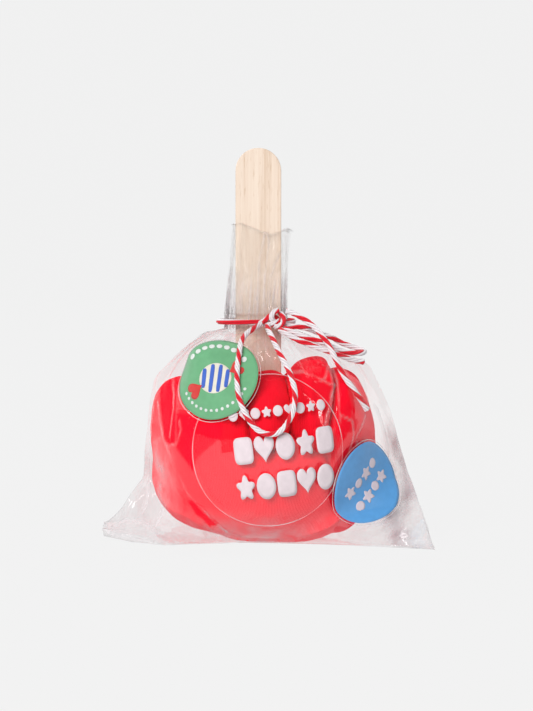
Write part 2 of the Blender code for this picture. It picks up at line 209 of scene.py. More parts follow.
def distanceTo(points, line):
    # distance of every point from a line through several places, the least of those to its straight parts
    nearest = np.full(len(points), 1e9)
    for first, last in zip(line[:-1], line[1:]):
        step = last - first
        share = np.clip((points - first) @ step / max(step @ step, 1e-12), 0, 1)
        nearest = np.minimum(nearest, np.linalg.norm(points - first - share[:, None] * step, axis=1))
    return nearest


# camera: a little above the object, far enough away to look nearly flat

view = {"elevation": 5.0, "distance": 1.3, "target": (0.0, 0.0, 0.072), "lens": 166.4}


def makeCamera():
    # aimed at its target by its tilt alone
    data = bpy.data.cameras.new("camera")
    data.sensor_fit = "VERTICAL"
    data.sensor_height = 36
    data.lens = view["lens"]
    data.clip_start = 0.05
    data.clip_end = 20
    camera = bpy.data.objects.new("camera", data)
    tilt = math.radians(view["elevation"])
    place = np.array(view["target"]) + view["distance"] * np.array([0, -math.cos(tilt), math.sin(tilt)])
    camera.location = place.tolist()
    camera.rotation_euler = (math.pi / 2 - tilt, 0, 0)
    bpy.context.scene.collection.objects.link(camera)
    bpy.context.scene.camera = camera


makeCamera()
print("camera made")


# twine: five yarns twisted together, two of them red

twine = {
    "radius": 1.1 * mm,
    "yarns": 5,
    "redYarns": 2,
    "yarnRadius": 0.48 * mm,
    "yarnCentre": 0.62 * mm,  # how far its middle lies from the middle of the twine
    "step": 0.3 * mm,
    "around": 40,
    "endFlare": 0.16,
    "flareLength": 1.2 * mm,
    "fibreLength": 2 * mm,  # one unit of uv along the yarn
}

twineRoutes = {  # in millimetres, as the solids lie
    "twineLoopFront": [
        (-2.1, -10.7, 85.2), (-4.1, -13.1, 84.4), (-5.9, -15.5, 83.4), (-7.6, -17.9, 82.3), (-8.9, -20.5, 80.9),
        (-9.8, -23.1, 79.4), (-10.3, -25.7, 77.5), (-10.6, -27.9, 75.2), (-11.0, -29.6, 72.6), (-11.3, -31.2, 69.9),
        (-11.4, -33.0, 67.2), (-11.3, -34.8, 64.6), (-11.1, -36.6, 62.0), (-10.6, -38.0, 59.2), (-9.6, -39.3, 56.4),
        (-8.4, -40.3, 53.7), (-6.9, -41.0, 51.0), (-5.0, -41.8, 48.6), (-2.6, -42.1, 46.5), (0.4, -42.3, 45.4),
        (3.5, -42.1, 45.6), (6.2, -41.8, 47.3), (8.1, -41.1, 49.7), (9.6, -40.4, 52.4), (10.5, -39.7, 55.4),
        (11.0, -39.0, 58.4), (10.9, -38.2, 61.5), (10.3, -37.0, 64.4), (9.4, -35.7, 67.2), (8.3, -34.2, 69.7),
        (7.1, -32.5, 72.1), (5.7, -30.5, 74.2), (4.6, -28.3, 76.2), (3.7, -25.8, 78.0), (2.8, -23.3, 79.7),
        (2.0, -20.6, 81.1), (1.2, -17.8, 82.5), (0.6, -14.9, 83.7), (0.4, -12.0, 84.9),
    ],
    "twineLoopSide": [
        (6.4, -9.3, 84.9), (9.5, -9.1, 84.4), (12.5, -8.7, 84.1), (15.4, -8.0, 83.5), (18.2, -7.1, 82.5),
        (21.0, -6.4, 81.3), (23.8, -5.6, 80.3), (26.4, -4.6, 79.3), (28.8, -3.4, 77.7), (31.5, -2.8, 76.5),
        (34.5, -2.7, 75.6), (37.1, -4.0, 74.8), (38.4, -6.6, 74.2), (37.6, -9.5, 73.9), (35.2, -11.4, 73.9),
        (32.4, -12.5, 74.3), (29.5, -13.3, 75.0), (26.8, -14.1, 76.2), (24.0, -14.7, 77.5), (21.2, -14.8, 78.6),
        (18.3, -14.7, 79.6), (15.4, -14.3, 80.5), (12.5, -13.8, 81.5), (9.8, -13.0, 82.6), (7.1, -11.9, 83.8),
    ],
    "twineEndLong": [
        (7.6, -9.6, 90.3), (10.5, -10.1, 89.5), (13.0, -11.2, 88.3), (15.4, -12.5, 86.9), (17.5, -14.0, 85.4),
        (19.4, -15.7, 83.7), (21.1, -17.3, 81.9), (22.8, -18.9, 79.8), (24.3, -20.3, 77.6), (25.6, -21.4, 75.1),
        (26.9, -22.2, 72.5), (28.2, -22.9, 69.8), (29.5, -23.4, 67.2), (31.1, -23.8, 64.6), (32.9, -24.0, 62.2),
        (34.7, -23.7, 59.7), (36.3, -22.9, 57.3), (37.8, -21.7, 54.9), (39.2, -20.5, 52.6),
    ],
    "twineEndShort": [
        (5.2, -14.0, 83.4), (7.3, -16.0, 82.2), (9.9, -17.1, 80.8), (12.7, -17.6, 79.4), (15.6, -17.9, 78.3),
        (18.6, -18.0, 77.1), (21.5, -18.0, 76.1), (24.5, -17.9, 75.1), (27.4, -17.2, 74.1), (30.0, -15.8, 73.0),
        (32.5, -14.2, 71.8), (35.2, -12.8, 71.1), (38.0, -11.4, 70.6),
    ],
}

cords = {  # each cord's node, the length of one full twist and the turn that it starts with
    "twineLoopFront": {"node": "twine_loop_front", "pitch": 9.5 * mm, "turn": 0.4},
    "twineLoopSide": {"node": "twine_loop_side", "pitch": 16 * mm, "turn": 1.9},
    "twineEndLong": {"node": "twine_end_long", "pitch": 13 * mm, "turn": 3.1},
    "twineEndShort": {"node": "twine_end_short", "pitch": 14 * mm, "turn": 4.2},
}

knot = {  # in millimetres
    "ringCentre": (-4.1, 0.4, 85.6),
    "ringHalf": (14.8, 6.6),
    "core": (2.2, -8.2, 87),  # packed yarn inside the knot
    "coreHalf": (3.1, 1.8, 2.0),
    "coreRows": 14, "coreColumns": 28,
    "ringTurn": 4.17,  # set so that the red yarns run along the front on the left
    "ringStart": -0.9,
    "pitch": 12 * mm,
    "windingTurn": 1.3,
    "windings": [
        [(5.4, -8, 89.4), (6.6, -10.2, 87.8), (6.4, -12, 86), (5, -12.6, 84.6), (3.4, -11.4, 84.2)],
        [(5, -8.2, 85.8), (3.2, -9.8, 86.2), (2, -10.6, 87.6), (2.6, -10.4, 89.6), (4.6, -9.5, 90.8)],
        [(-2.4, -7.2, 85.2), (-1.9, -9.2, 85.8), (-0.3, -10.2, 87), (1.4, -9.6, 88.4), (2.4, -8, 89.2)],
        [(-0.8, -7.8, 85), (0.6, -10, 85), (2.6, -10.8, 85.4), (4.6, -10, 86.2), (5.6, -8, 86.8)],
    ],
}


def yarnMaterial(name, colour, dark):
    # fine fibres along the yarn, and painted shade: darker in the grooves between yarns
    made, tree, shader = startMaterial(name, {"Roughness": 0.85, "Sheen Weight": 0.25, "Sheen Roughness": 0.5})
    place = addNode(tree, "ShaderNodeTexCoord").outputs["UV"]
    fibres = noiseOn(tree, scaled(tree, place, (7.0, 2.2, 1.0)), 1.0, 3.0, 0.65)
    slubs = noiseOn(tree, scaled(tree, place, (0.6, 0.9, 1.0)), 1.0, 2.0)
    across = addNode(tree, "ShaderNodeSeparateXYZ", {"Vector": place}).outputs["X"]
    # painted shade: the colour darkens towards the groove between two yarns
    groove = rangeOf(tree, across, 0.5, 1.0, 0.0, 0.7)
    shade = worked(tree, "ADD", groove, rangeOf(tree, fibres, 0.35, 0.65, 0.0, 0.3))
    shade = worked(tree, "ADD", shade, rangeOf(tree, slubs, 0.4, 0.7, 0.0, 0.15))
    tree.links.new(ramp(tree, shade, [(0.0, colour), (1.0, dark)]), shader.inputs["Base Color"])
    bumpOn(tree, shader, fibres, 0.12 * mm, 0.9)
    return made


redYarn = yarnMaterial("red yarn", (0.72, 0.010, 0.026), (0.40, 0.004, 0.011))
whiteYarn = yarnMaterial("white yarn", (0.79, 0.76, 0.78), (0.48, 0.42, 0.44))


def smoothRoute(places, step):
    # a smooth curve through the places (Catmull-Rom), then points spaced evenly along it
    knots = np.array(places, float) * mm
    knots = np.vstack([2 * knots[0] - knots[1], knots, 2 * knots[-1] - knots[-2]])
    share = np.linspace(0, 1, 16, endpoint=False)[None, :, None]
    a, b, c, d = (knots[start:len(knots) - 3 + start, None, :] for start in range(4))
    bend = (2 * a - 5 * b + 4 * c - d) * share ** 2 + (3 * b - a - 3 * c + d) * share ** 3
    dense = (0.5 * (2 * b + (c - a) * share + bend)).reshape(-1, 3)
    return spacedEvenly(np.vstack([dense, knots[-2]]), step)


def spacedEvenly(dense, step):
    # points at equal distances along a line through many places
    run = np.concatenate([[0.0], np.cumsum(np.linalg.norm(np.diff(dense, axis=0), axis=1))])
    places = np.linspace(0, run[-1], max(3, math.ceil(run[-1] / step) + 1))
    return np.stack([np.interp(places, run, dense[:, axis]) for axis in range(3)], axis=1)


def routeLength(route):
    # sum of the steps between its points
    return float(np.linalg.norm(np.diff(route, axis=0), axis=1).sum())


def framesAlong(route, closed=False):
    # two side directions at each point, carried along without twisting
    ahead = np.roll(route, -1, axis=0) - np.roll(route, 1, axis=0)
    if not closed:
        ahead[0] = route[1] - route[0]
        ahead[-1] = route[-1] - route[-2]
    ahead = unit(ahead)
    side = np.cross(ahead[0], up if abs(ahead[0][2]) < 0.9 else np.array([1.0, 0, 0]))
    sides = []
    for heading in ahead:
        side = side - heading * (side @ heading)
        side = side / np.linalg.norm(side)
        sides.append(side)
    sides = np.array(sides)
    return sides, np.cross(ahead, sides)


def twistedTube(route, pitch, turn, closed=False, flare=0.0):
    # round yarns side by side: radius = c cos(d) + sqrt(r^2 - c^2 sin(d)^2), d the angle from a yarn's middle
    sides, others = framesAlong(route, closed)
    run = np.concatenate([[0.0], np.cumsum(np.linalg.norm(np.diff(route, axis=0), axis=1))])
    columns, yarns = twine["around"], twine["yarns"]
    share = 2 * math.pi / yarns
    angle = 2 * math.pi * np.arange(columns) / columns
    away = (angle + share / 2) % share - share / 2
    centre, yarn = twine["yarnCentre"], twine["yarnRadius"]
    profile = centre * np.cos(away) + np.sqrt(yarn ** 2 - (centre * np.sin(away)) ** 2)
    around = (turn - 2 * math.pi * run / pitch)[:, None] + angle[None, :]
    grow = np.ones(len(route))
    if flare:
        grow += flare * np.exp(-(run[-1] - run) / twine["flareLength"])
    reach = (grow[:, None] * profile[None, :])[..., None]
    points = route[:, None, :] + reach * (
        sides[:, None, :] * np.cos(around)[..., None] + others[:, None, :] * np.sin(around)[..., None]
    )
    if closed:
        points = points[:-1]
        run = run[:-1]
    rows = len(points)
    fromMiddle = np.abs(away) / (share / 2)  # 0 on top of a yarn, 1 in the groove
    uv = np.stack(np.broadcast_arrays(fromMiddle[None, :], (run / twine["fibreLength"])[:, None]), -1).reshape(-1, 2)
    yarnOf = ((np.arange(columns) + columns // yarns // 2) // (columns // yarns)) % yarns
    band = np.where(yarnOf < twine["redYarns"], 0, 1)
    colours = np.tile(band, rows - 1).tolist()
    points = points.reshape(-1, 3)
    if closed:
        column = np.arange(columns)
        after = (column + 1) % columns
        last = (rows - 1) * columns
        faces = gridFaces(rows, columns) + np.stack([last + column, last + after, after, column], -1).tolist()
        colours += band.tolist()
    else:
        points = np.vstack([points, route[0], route[-1]])
        uv = np.vstack([uv, [[0.5, 0.0]], [[0.5, 0.0]]])
        faces = closedFaces(rows, columns)
        colours += band.tolist() * 2
    return points, faces, uv, colours


def joined(parts):
    # several tubes or shapes as one mesh
    points, faces, uv, colours = [], [], [], []
    count = 0
    for partPoints, partFaces, partUv, partColours in parts:
        points.append(partPoints)
        faces += [[index + count for index in face] for face in partFaces]
        uv.append(partUv)
        colours += partColours
        count += len(partPoints)
    return np.vstack(points), faces, np.vstack(uv), colours


def makeCords():
    # each free part of the twine as a twisted tube along its route
    for name, cord in cords.items():
        route = smoothRoute(twineRoutes[name], twine["step"])
        isLoop = "Loop" in name
        flare = 0.0 if isLoop else twine["endFlare"]
        points, faces, uv, colours = twistedTube(route, cord["pitch"], cord["turn"], flare=flare)
        piece = pieceFrom(name, points, faces, [redYarn, whiteYarn], uv, colours)
        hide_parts(cord["node"])
        print(name, "length", round(routeLength(route) / mm, 1), "mm")


def makeTie():
    # the ring round the neck, the knot's windings and a ball of packed yarn inside the knot, as one piece
    angle = np.linspace(0, 2 * math.pi, 400) + knot["ringStart"]
    centre = np.array(knot["ringCentre"]) * mm
    half = np.array(knot["ringHalf"]) * mm
    ring = centre + np.stack([half[0] * np.cos(angle), half[1] * np.sin(angle), 0 * angle], -1)
    ring = spacedEvenly(ring, twine["step"])
    parts = [twistedTube(ring, routeLength(ring), knot["ringTurn"], closed=True)]
    for index, winding in enumerate(knot["windings"]):
        parts.append(twistedTube(smoothRoute(winding, twine["step"]), knot["pitch"], knot["windingTurn"] * index))
    rows, columns = knot["coreRows"], knot["coreColumns"]
    down = np.pi * (np.arange(1, rows + 1) / (rows + 1))[:, None]
    across = (2 * np.pi * np.arange(columns) / columns)[None, :]
    ball = np.stack(np.broadcast_arrays(
        np.sin(down) * np.cos(across), np.sin(down) * np.sin(across), -np.cos(down)), -1).reshape(-1, 3)
    ball = np.vstack([ball, [[0, 0, -1.0]], [[0, 0, 1.0]]])
    faces = closedFaces(rows, columns)
    points = np.array(knot["core"]) * mm + ball * np.array(knot["coreHalf"]) * mm
    parts.append((points, faces, ball[:, :2] * 2, [0] * len(faces)))
    points, faces, uv, colours = joined(parts)
    piece = pieceFrom("twineTie", points, faces, [redYarn, whiteYarn], uv, colours)
    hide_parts("twine_tie")


makeCords()
makeTie()
print("twine made")


# film: the bag's form, which everything else is fitted to

bag = {
    "ballHalfWidth": 44.4 * mm, "ballHalfDepth": 40.6 * mm, "ballMiddle": 38 * mm, "ballRise": 38 * mm,
    "ballDrop": 41 * mm, "squareness": 2.5, "middleY": 0.4 * mm,
    "shoulderStart": 53 * mm, "shoulderFullness": 2.3, "shoulderSlope": 1.3,
    "neckX": -4.1 * mm, "neckZ": 85.6 * mm, "neckHalfWidth": 13.4 * mm, "neckHalfDepth": 5.2 * mm,
    "neckBand": 1.5 * mm,
    "collarTop": 124 * mm, "collarTopX": -1.8 * mm, "collarTopHalfWidth": 12.3 * mm, "collarFlareZ": 93 * mm,
    "collarHalfDepth": 4.6 * mm, "collarWave": 3.4 * mm,
    "rightFold": [
        (0, 66, -38), (6.5, 64.6, -25), (13, 62, -13), (24, 58, -2), (38, 54, 2), (51, 50.2, 2), (60.5, 46.3, 0),
        (68.8, 42.9, 0), (72, 39.3, 0), (74.2, 31.5, 0), (76.2, 26, 0), (84.1, 9.8, 0),
    ],
    "leftFold": [
        (0, 40, -26), (2.5, 65.2, -9), (6, 66, -5), (12, 59, -3), (24.5, 50.6, 0), (36.4, 49.6, 0),
        (63.3, 46.5, 0), (66, 44.9, 0), (75.2, 36.2, 0), (83, 25.5, 0), (84.1, 17.8, 0),
    ],
    "wingFullness": 0.85,
    "tentAngle": math.radians(240), "tentZ": 77 * mm, "tentWidth": 0.5, "tentHeight": 6.5 * mm, "tentShare": 0.2,
    "crowding": 0.55, "pleats": 13, "pleatDrift": 0.9, "sidePleat": 0.2,
    "shoulderPleat": 0.11, "neckPleat": 0.07, "collarPleat": 0.15,
}


def ballScale(z):
    # share of the full width at a height: (1 - |z - middle| / reach ^ n) ^ (1 / n)
    reach = np.where(z > bag["ballMiddle"], bag["ballRise"], bag["ballDrop"])
    share = np.minimum(np.abs(z - bag["ballMiddle"]) / reach, 1.0)
    return (1 - share ** bag["squareness"]) ** (1 / bag["squareness"])


def ovalAt(z):
    # middle, half width and half depth of the film's oval, blending from ball to neck to collar
    neckLow = bag["neckZ"] - bag["neckBand"]
    share = np.clip((z - bag["shoulderStart"]) / (neckLow - bag["shoulderStart"]), 0, 1)
    kept = (1 - share ** bag["shoulderFullness"]) ** (1 / bag["shoulderSlope"])
    scale = ballScale(np.minimum(z, bag["shoulderStart"]))
    flare = np.clip((z - bag["collarFlareZ"]) / (bag["collarTop"] - bag["collarFlareZ"]), 0, 1)
    neckWide = bag["neckHalfWidth"] * (1 - flare) + bag["collarTopHalfWidth"] * flare
    neckDeep = bag["neckHalfDepth"] * (1 - flare) + bag["collarHalfDepth"] * flare
    middle = bag["neckX"] * share * (1 - flare) + bag["collarTopX"] * flare
    wide = bag["ballHalfWidth"] * scale * kept + neckWide * (1 - kept)
    deep = bag["ballHalfDepth"] * scale * kept + neckDeep * (1 - kept)
    return middle, wide, deep


def foldAt(fold, z, side, middle, wide, deep):
    # direction and distance of a side fold in units of the oval
    places = np.array(fold) * mm
    out = np.interp(z, places[:, 0], places[:, 1])
    back = np.interp(z, places[:, 0], places[:, 2])
    across = (side * out - middle) / wide
    along = (back - bag["middleY"]) / deep
    beyond = z > places[-1, 0]
    turn = np.where(beyond, 0.0 if side > 0 else math.pi, np.arctan2(along, across))
    return turn, np.where(beyond, 1.0, np.maximum(1.0, np.hypot(along, across)))


def foldReach(turn, distance):
    # the film's straight line from a fold to where it meets the oval
    spread = np.arccos(1 / distance)
    inside = turn < spread * bag["wingFullness"]
    slant = np.where(inside, turn / bag["wingFullness"] - spread, 0.0)
    return np.where(inside & (spread > 1e-6), 1 / np.cos(slant), 1.0)


def pleatDepth(z):
    # depth of the broad pleats, growing over the shoulder to the tie and again in the collar
    neckLow = bag["neckZ"] - bag["neckBand"]
    neckHigh = bag["neckZ"] + bag["neckBand"]
    share = np.clip((z - bag["shoulderStart"]) / (neckLow - bag["shoulderStart"]), 0, 1)
    shoulder = bag["shoulderPleat"] * np.sin(math.pi * share ** 1.4) + bag["neckPleat"] * share ** 2
    above = np.clip((z - neckHigh) / (bag["collarFlareZ"] - neckHigh), 0, 1)
    return np.where(z < neckLow, shoulder, bag["neckPleat"] + (bag["collarPleat"] - bag["neckPleat"]) * above)


def foldsAt(z):
    # the oval and both side folds at a height
    middle, wide, deep = ovalAt(z)
    right, rightFar = foldAt(bag["rightFold"], z, 1, middle, wide, deep)
    left, leftFar = foldAt(bag["leftFold"], z, -1, middle, wide, deep)
    return middle, wide, deep, right, rightFar, left % (2 * math.pi), leftFar


def reachAt(angle, place, z, folds):
    # how far the film stands out from the oval's middle, as a share of the oval, with wings and pleats
    right, rightFar, left, leftFar = folds[3:]
    turnRight = np.abs((angle - right + math.pi) % (2 * math.pi) - math.pi)
    turnLeft = np.abs((angle - left + math.pi) % (2 * math.pi) - math.pi)
    wing = np.maximum(foldReach(turnRight, rightFar), foldReach(turnLeft, leftFar))
    wave = np.cos(2 * math.pi * (bag["pleats"] * place + bag["pleatDrift"] * np.sin(4 * math.pi * place) / 3))
    aside = ((angle % (2 * math.pi)) - bag["tentAngle"]) / bag["tentWidth"]
    above = (z - bag["tentZ"]) / bag["tentHeight"]
    tent = 1 + bag["tentShare"] * np.exp(-aside ** 2 - above ** 2)
    damping = bag["sidePleat"] + (1 - bag["sidePleat"]) * np.abs(np.sin(angle))  # shallower at the two sides
    return wing * tent * (1 - pleatDepth(z) * damping * (0.5 - 0.5 * wave)), wing


def placeOf(angle, folds):
    # share of the way round, from the right fold by the back to the left fold and on, undoing the crowding
    right, left = folds[3], folds[5]
    turn = (angle - right) % (2 * math.pi)
    behind = (left - right) % (2 * math.pi)
    isBehind = turn < behind
    eased = np.where(isBehind, turn / behind, (turn - behind) / (2 * math.pi - behind))
    half = eased.copy()
    for _ in range(8):
        error = half - bag["crowding"] * np.sin(2 * math.pi * half) / (2 * math.pi) - eased
        half = np.clip(half - error / (1 - bag["crowding"] * np.cos(2 * math.pi * half)), 0, 1)
    return np.where(isBehind, half / 2, 0.5 + half / 2)


def filmGap(points):
    # above zero outside the smooth film, below zero inside it
    folds = foldsAt(points[..., 2])
    across = (points[..., 0] - folds[0]) / folds[1]
    along = (points[..., 1] - bag["middleY"]) / folds[2]
    angle = np.arctan2(along, across)
    reach, _ = reachAt(angle, placeOf(angle, folds), points[..., 2], folds)
    return (np.hypot(across, along) - reach) * folds[2]


def filmSlope(points):
    # direction in which the gap grows fastest
    step = 0.05 * mm
    return np.stack([
        (filmGap(points + step * axis) - filmGap(points - step * axis)) / (2 * step) for axis in np.eye(3)
    ], axis=-1)


def ontoFilm(points, times=3):
    # slide points along the slope until they lie on the smooth film, and give its normals
    for _ in range(times):
        slope = filmSlope(points)
        points = points - slope * (filmGap(points) / (slope ** 2).sum(-1))[..., None]
    return points, unit(filmSlope(points))


def frontOfFilm(across, height):
    # the film's front above a place given from the front, found by halving
    def isOutside(between):
        return filmGap(np.stack([across, between, height], -1)) > 0

    _, front = halved(np.full(np.shape(across), -70 * mm), np.zeros(np.shape(across)), 30, isOutside)
    return np.stack([across, front, height], -1)


print("film form ready")


# stickers: clear round labels laid out from their centres along the film, each with its print

labels = {  # in millimetres: the centre seen from the front, the radius, the lift off the film, the ink's radius
    "labelFront": {
        "node": "sticker_front", "slot": "clear_film", "across": 0.5, "height": 38, "radius": 31, "lift": 0.4,
    },
    "labelLeft": {
        "node": "sticker_left", "slot": "green_print", "across": -19.5, "height": 66, "radius": 17.9, "lift": 0.9,
        "ink": 16.9,
    },
    "labelRight": {
        "node": "sticker_right", "slot": "blue_print", "across": 38, "height": 23.5, "radius": 17.4, "lift": 0.9,
        "ink": 16.5,
    },
}
labelThickness = 0.2 * mm
labelEdgeWidth = 0.22 * mm
labelRings = 40  # steps from the centre to the edge while a label is laid
labelSectors = 160
labelMeshRings = 28


def layLabel(label):
    # equal steps from the centre along the film, in every direction at once
    start = frontOfFilm(np.array([label["across"] * mm]), np.array([label["height"] * mm]))
    middle, normal = ontoFilm(start)
    side = unit(np.cross(up, normal[0]))
    rise = np.cross(normal[0], side)
    angle = 2 * math.pi * np.arange(labelSectors) / labelSectors
    heading = side * np.cos(angle)[:, None] + rise * np.sin(angle)[:, None]
    places = np.repeat(middle, labelSectors, axis=0)
    normals = np.repeat(normal, labelSectors, axis=0)
    rings, turned = [places], [normals]
    step = label["radius"] * mm / labelRings
    for _ in range(labelRings):
        places, normals = ontoFilm(places + heading * step, 2)
        heading = unit(heading - normals * (heading * normals).sum(-1, keepdims=True))
        rings.append(places)
        turned.append(normals)
    return {"points": np.array(rings), "normals": unit(np.array(turned)), "radius": label["radius"] * mm}


def onLabel(laid, x, y, lift):
    # a place on the label given flat, x to the right and y up, then lifted off it
    ring = np.clip(np.hypot(x, y) / laid["radius"], 0, 1) * labelRings
    sector = (np.arctan2(y, x) / (2 * math.pi) % 1.0) * labelSectors
    low = np.minimum(ring.astype(int), labelRings - 1)
    left = sector.astype(int) % labelSectors
    alongRing = (ring - low)[..., None]
    alongSector = (sector - np.floor(sector))[..., None]

    def blend(values):
        right = (left + 1) % labelSectors
        inner = values[low, left] * (1 - alongSector) + values[low, right] * alongSector
        outer = values[low + 1, left] * (1 - alongSector) + values[low + 1, right] * alongSector
        return inner * (1 - alongRing) + outer * alongRing

    return blend(laid["points"]) + unit(blend(laid["normals"])) * lift


laidLabels = {name: layLabel(label) for name, label in labels.items()}
print("labels laid out")


def clearLabelMaterial():
    # a clear glossy sheet: a mirror as faint as its share of gloss, with the slight waviness of a hand-laid label
    made, tree, shader = startMaterial("clear label", {
        "Base Color": (0.97, 0.97, 0.98, 1), "Metallic": 1.0, "Roughness": 0.06,
    })
    place = addNode(tree, "ShaderNodeTexCoord").outputs["Object"]
    gloss = glossShare(tree, 0.012, 0.6)
    tree.links.new(gloss, shader.inputs["Alpha"])
    bumpOn(tree, shader, noiseOn(tree, place, 160.0, 2.0), 0.25 * mm, 0.5)
    return made


def labelEdgeMaterial():
    # the cut edge of the label, which catches the light: a painted highlight as a thin pale line
    made, tree, shader = startMaterial("label edge", {
        "Base Color": (0.80, 0.70, 0.73, 1), "Roughness": 0.3,
    })
    place = addNode(tree, "ShaderNodeTexCoord").outputs["Object"]
    seen = rangeOf(tree, noiseOn(tree, place, 90.0, 1.0), 0.35, 0.65, 0.15, 0.6)
    tree.links.new(seen, shader.inputs["Alpha"])
    return made


ink = {"thickness": 0.03, "mottle": 0.09, "coarseRings": 3, "fineRings": 13, "fineFrom": 6}  # in millimetres


def printMaterial(name, colour):
    # printed ink: nearly even colour, with a little mottle and a soft gloss
    made, tree, shader = startMaterial(name, {"Roughness": 0.35, "Specular IOR Level": 0.45})
    place = addNode(tree, "ShaderNodeTexCoord").outputs["Object"]
    mottle = rangeOf(tree, noiseOn(tree, place, 420.0, 3.0), 0.3, 0.7, 0.0, 1.0)
    darker = tuple(value * (1 - ink["mottle"]) for value in colour)
    tree.links.new(ramp(tree, mottle, [(0.0, darker), (1.0, colour)]), shader.inputs["Base Color"])
    bumpOn(tree, shader, noiseOn(tree, place, 150.0, 2.0), 0.2 * mm, 0.2)
    return made


clearLabel = clearLabelMaterial()
labelEdge = labelEdgeMaterial()


def makeLabel(name, label):
    # a thin closed disc with a pale line at its cut edge, a painted highlight
    laid = laidLabels[name]
    rings = np.linspace(0, 1, labelMeshRings + 1)[1:] * (1 - labelEdgeWidth / laid["radius"])
    rings = np.append(rings, 1.0)
    angle = 2 * math.pi * np.arange(labelSectors) / labelSectors
    x = rings[:, None] * laid["radius"] * np.cos(angle)
    y = rings[:, None] * laid["radius"] * np.sin(angle)
    low = label["lift"] * mm
    top = onLabel(laid, x, y, low + labelThickness)
    bottom = onLabel(laid, x, y, low)[::-1]
    count = len(rings)
    middle = onLabel(laid, np.zeros(1), np.zeros(1), low + labelThickness)
    under = onLabel(laid, np.zeros(1), np.zeros(1), low)
    points = np.vstack([top.reshape(-1, 3), bottom.reshape(-1, 3), middle, under])
    faces = closedFaces(2 * count, labelSectors)
    ringOf = np.repeat(np.arange(2 * count - 1), labelSectors)
    isEdge = (ringOf >= count - 2) & (ringOf <= count)
    choice = np.concatenate([np.where(isEdge, 1, 0), np.zeros(2 * labelSectors, int)])
    isRim = np.append(ringOf == count - 1, np.zeros(2 * labelSectors, bool))
    piece = pieceFrom(name, points, faces, [clearLabel, labelEdge], None, choice, ~isRim)
    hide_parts(label["node"])


for labelName, labelValues in labels.items():
    makeLabel(labelName, labelValues)
print("labels made")


# prints: fields of colour and simple shapes, each a thin sheet on its label

def squared(values, power):
    # a cosine or sine bent towards its ends, which turns an oval into a block: sign |value| ^ power
    return np.sign(values) * np.abs(values) ** power


def shapePoints(kind, size, t):
    # outline of a simple shape round its own middle, for the angles t
    if kind == "dot":
        return size * np.cos(t), size * np.sin(t)
    if kind == "block":
        return size * squared(np.cos(t), 0.45), size * squared(np.sin(t), 0.45)
    if kind == "heart":
        across = np.sin(t) ** 3
        rise = (13 * np.cos(t) - 5 * np.cos(2 * t) - 2 * np.cos(3 * t) - np.cos(4 * t)) / 16
        return size * 1.05 * across, size * 1.1 * (rise + 0.12)
    if kind == "flower":
        reach = size * (0.82 + 0.2 * np.cos(5 * (t - math.pi / 2)))
        return reach * np.cos(t), reach * np.sin(t)
    if kind == "star":
        reach = size * (0.55 + 0.5 * (1 - triangleWave(5 * (t - math.pi / 2) / (2 * math.pi))) ** 1.2)
        return reach * np.cos(t), reach * np.sin(t)
    if kind == "bar":
        return size * squared(np.cos(t), 0.35), size * 0.3 * squared(np.sin(t), 0.5)
    raise ValueError(kind)


def inkShape(laid, lift, kind, size, x, y, turn=0.0, detail=40, tall=1.0):
    # rings shrinking to the middle of the outline, laid on the label: a thin closed sheet
    t = 2 * math.pi * np.arange(detail) / detail
    across, rise = shapePoints(kind, size * mm, t)
    rise = rise * tall
    if kind == "heart":
        across, rise = across[::-1], rise[::-1]
    angle = math.radians(turn)
    flatX = across * math.cos(angle) - rise * math.sin(angle)
    flatY = across * math.sin(angle) + rise * math.cos(angle)
    ringCount = ink["coarseRings"] if size < ink["fineFrom"] else ink["fineRings"]
    rings = np.linspace(0, 1, ringCount + 1)[1:]
    ringX = x * mm + rings[:, None] * flatX
    ringY = y * mm + rings[:, None] * flatY
    low = lift - ink["thickness"]
    top = onLabel(laid, ringX, ringY, lift * mm)
    bottom = onLabel(laid, ringX, ringY, low * mm)[::-1]
    middle = onLabel(laid, np.array([x * mm]), np.array([y * mm]), lift * mm)
    under = onLabel(laid, np.array([x * mm]), np.array([y * mm]), low * mm)
    points = np.vstack([top.reshape(-1, 3), bottom.reshape(-1, 3), middle, under])
    faces = closedFaces(2 * len(rings), detail)
    isRim = np.arange(len(faces)) // detail == len(rings) - 1
    return points, faces, np.zeros((len(points), 2)), isRim.tolist()


def makePrint(name, labelName, lift, colour, inkName, shapes):
    # every shape of one ink as one piece, lifted this many millimetres off its label
    laid = laidLabels[labelName]
    height = labels[labelName]["lift"] + labelThickness / mm + lift
    points, faces, _, isRim = joined([inkShape(laid, height, **shape) for shape in shapes])
    piece = pieceFrom(name, points, faces, [printMaterial(inkName, colour)], smooth=~np.array(isRim))


# sizes and places in millimetres from the label's centre, slopes and turns in degrees

frontPrint = {
    "white": (0.68, 0.59, 0.62),
    "lift": 0.05,
    "slope": 7.0,  # the rows rise to the right
    "rows": [
        {"kinds": ["dot", "heart", "dot", "flower", "dot", "heart", "dot", "flower", "dot"],
         "size": 1.9, "tall": 1.15, "left": -13.5, "spacing": 4.35, "bottom": 14.0},
        {"kinds": ["block", "heart", "dot", "flower", "block"],
         "size": 3.7, "tall": 1.42, "left": -9.3, "spacing": 8.0, "bottom": 0.6},
        {"kinds": ["flower", "dot", "block", "heart", "dot"],
         "size": 3.7, "tall": 1.42, "left": -8.4, "spacing": 7.9, "bottom": -14.0},
    ],
}

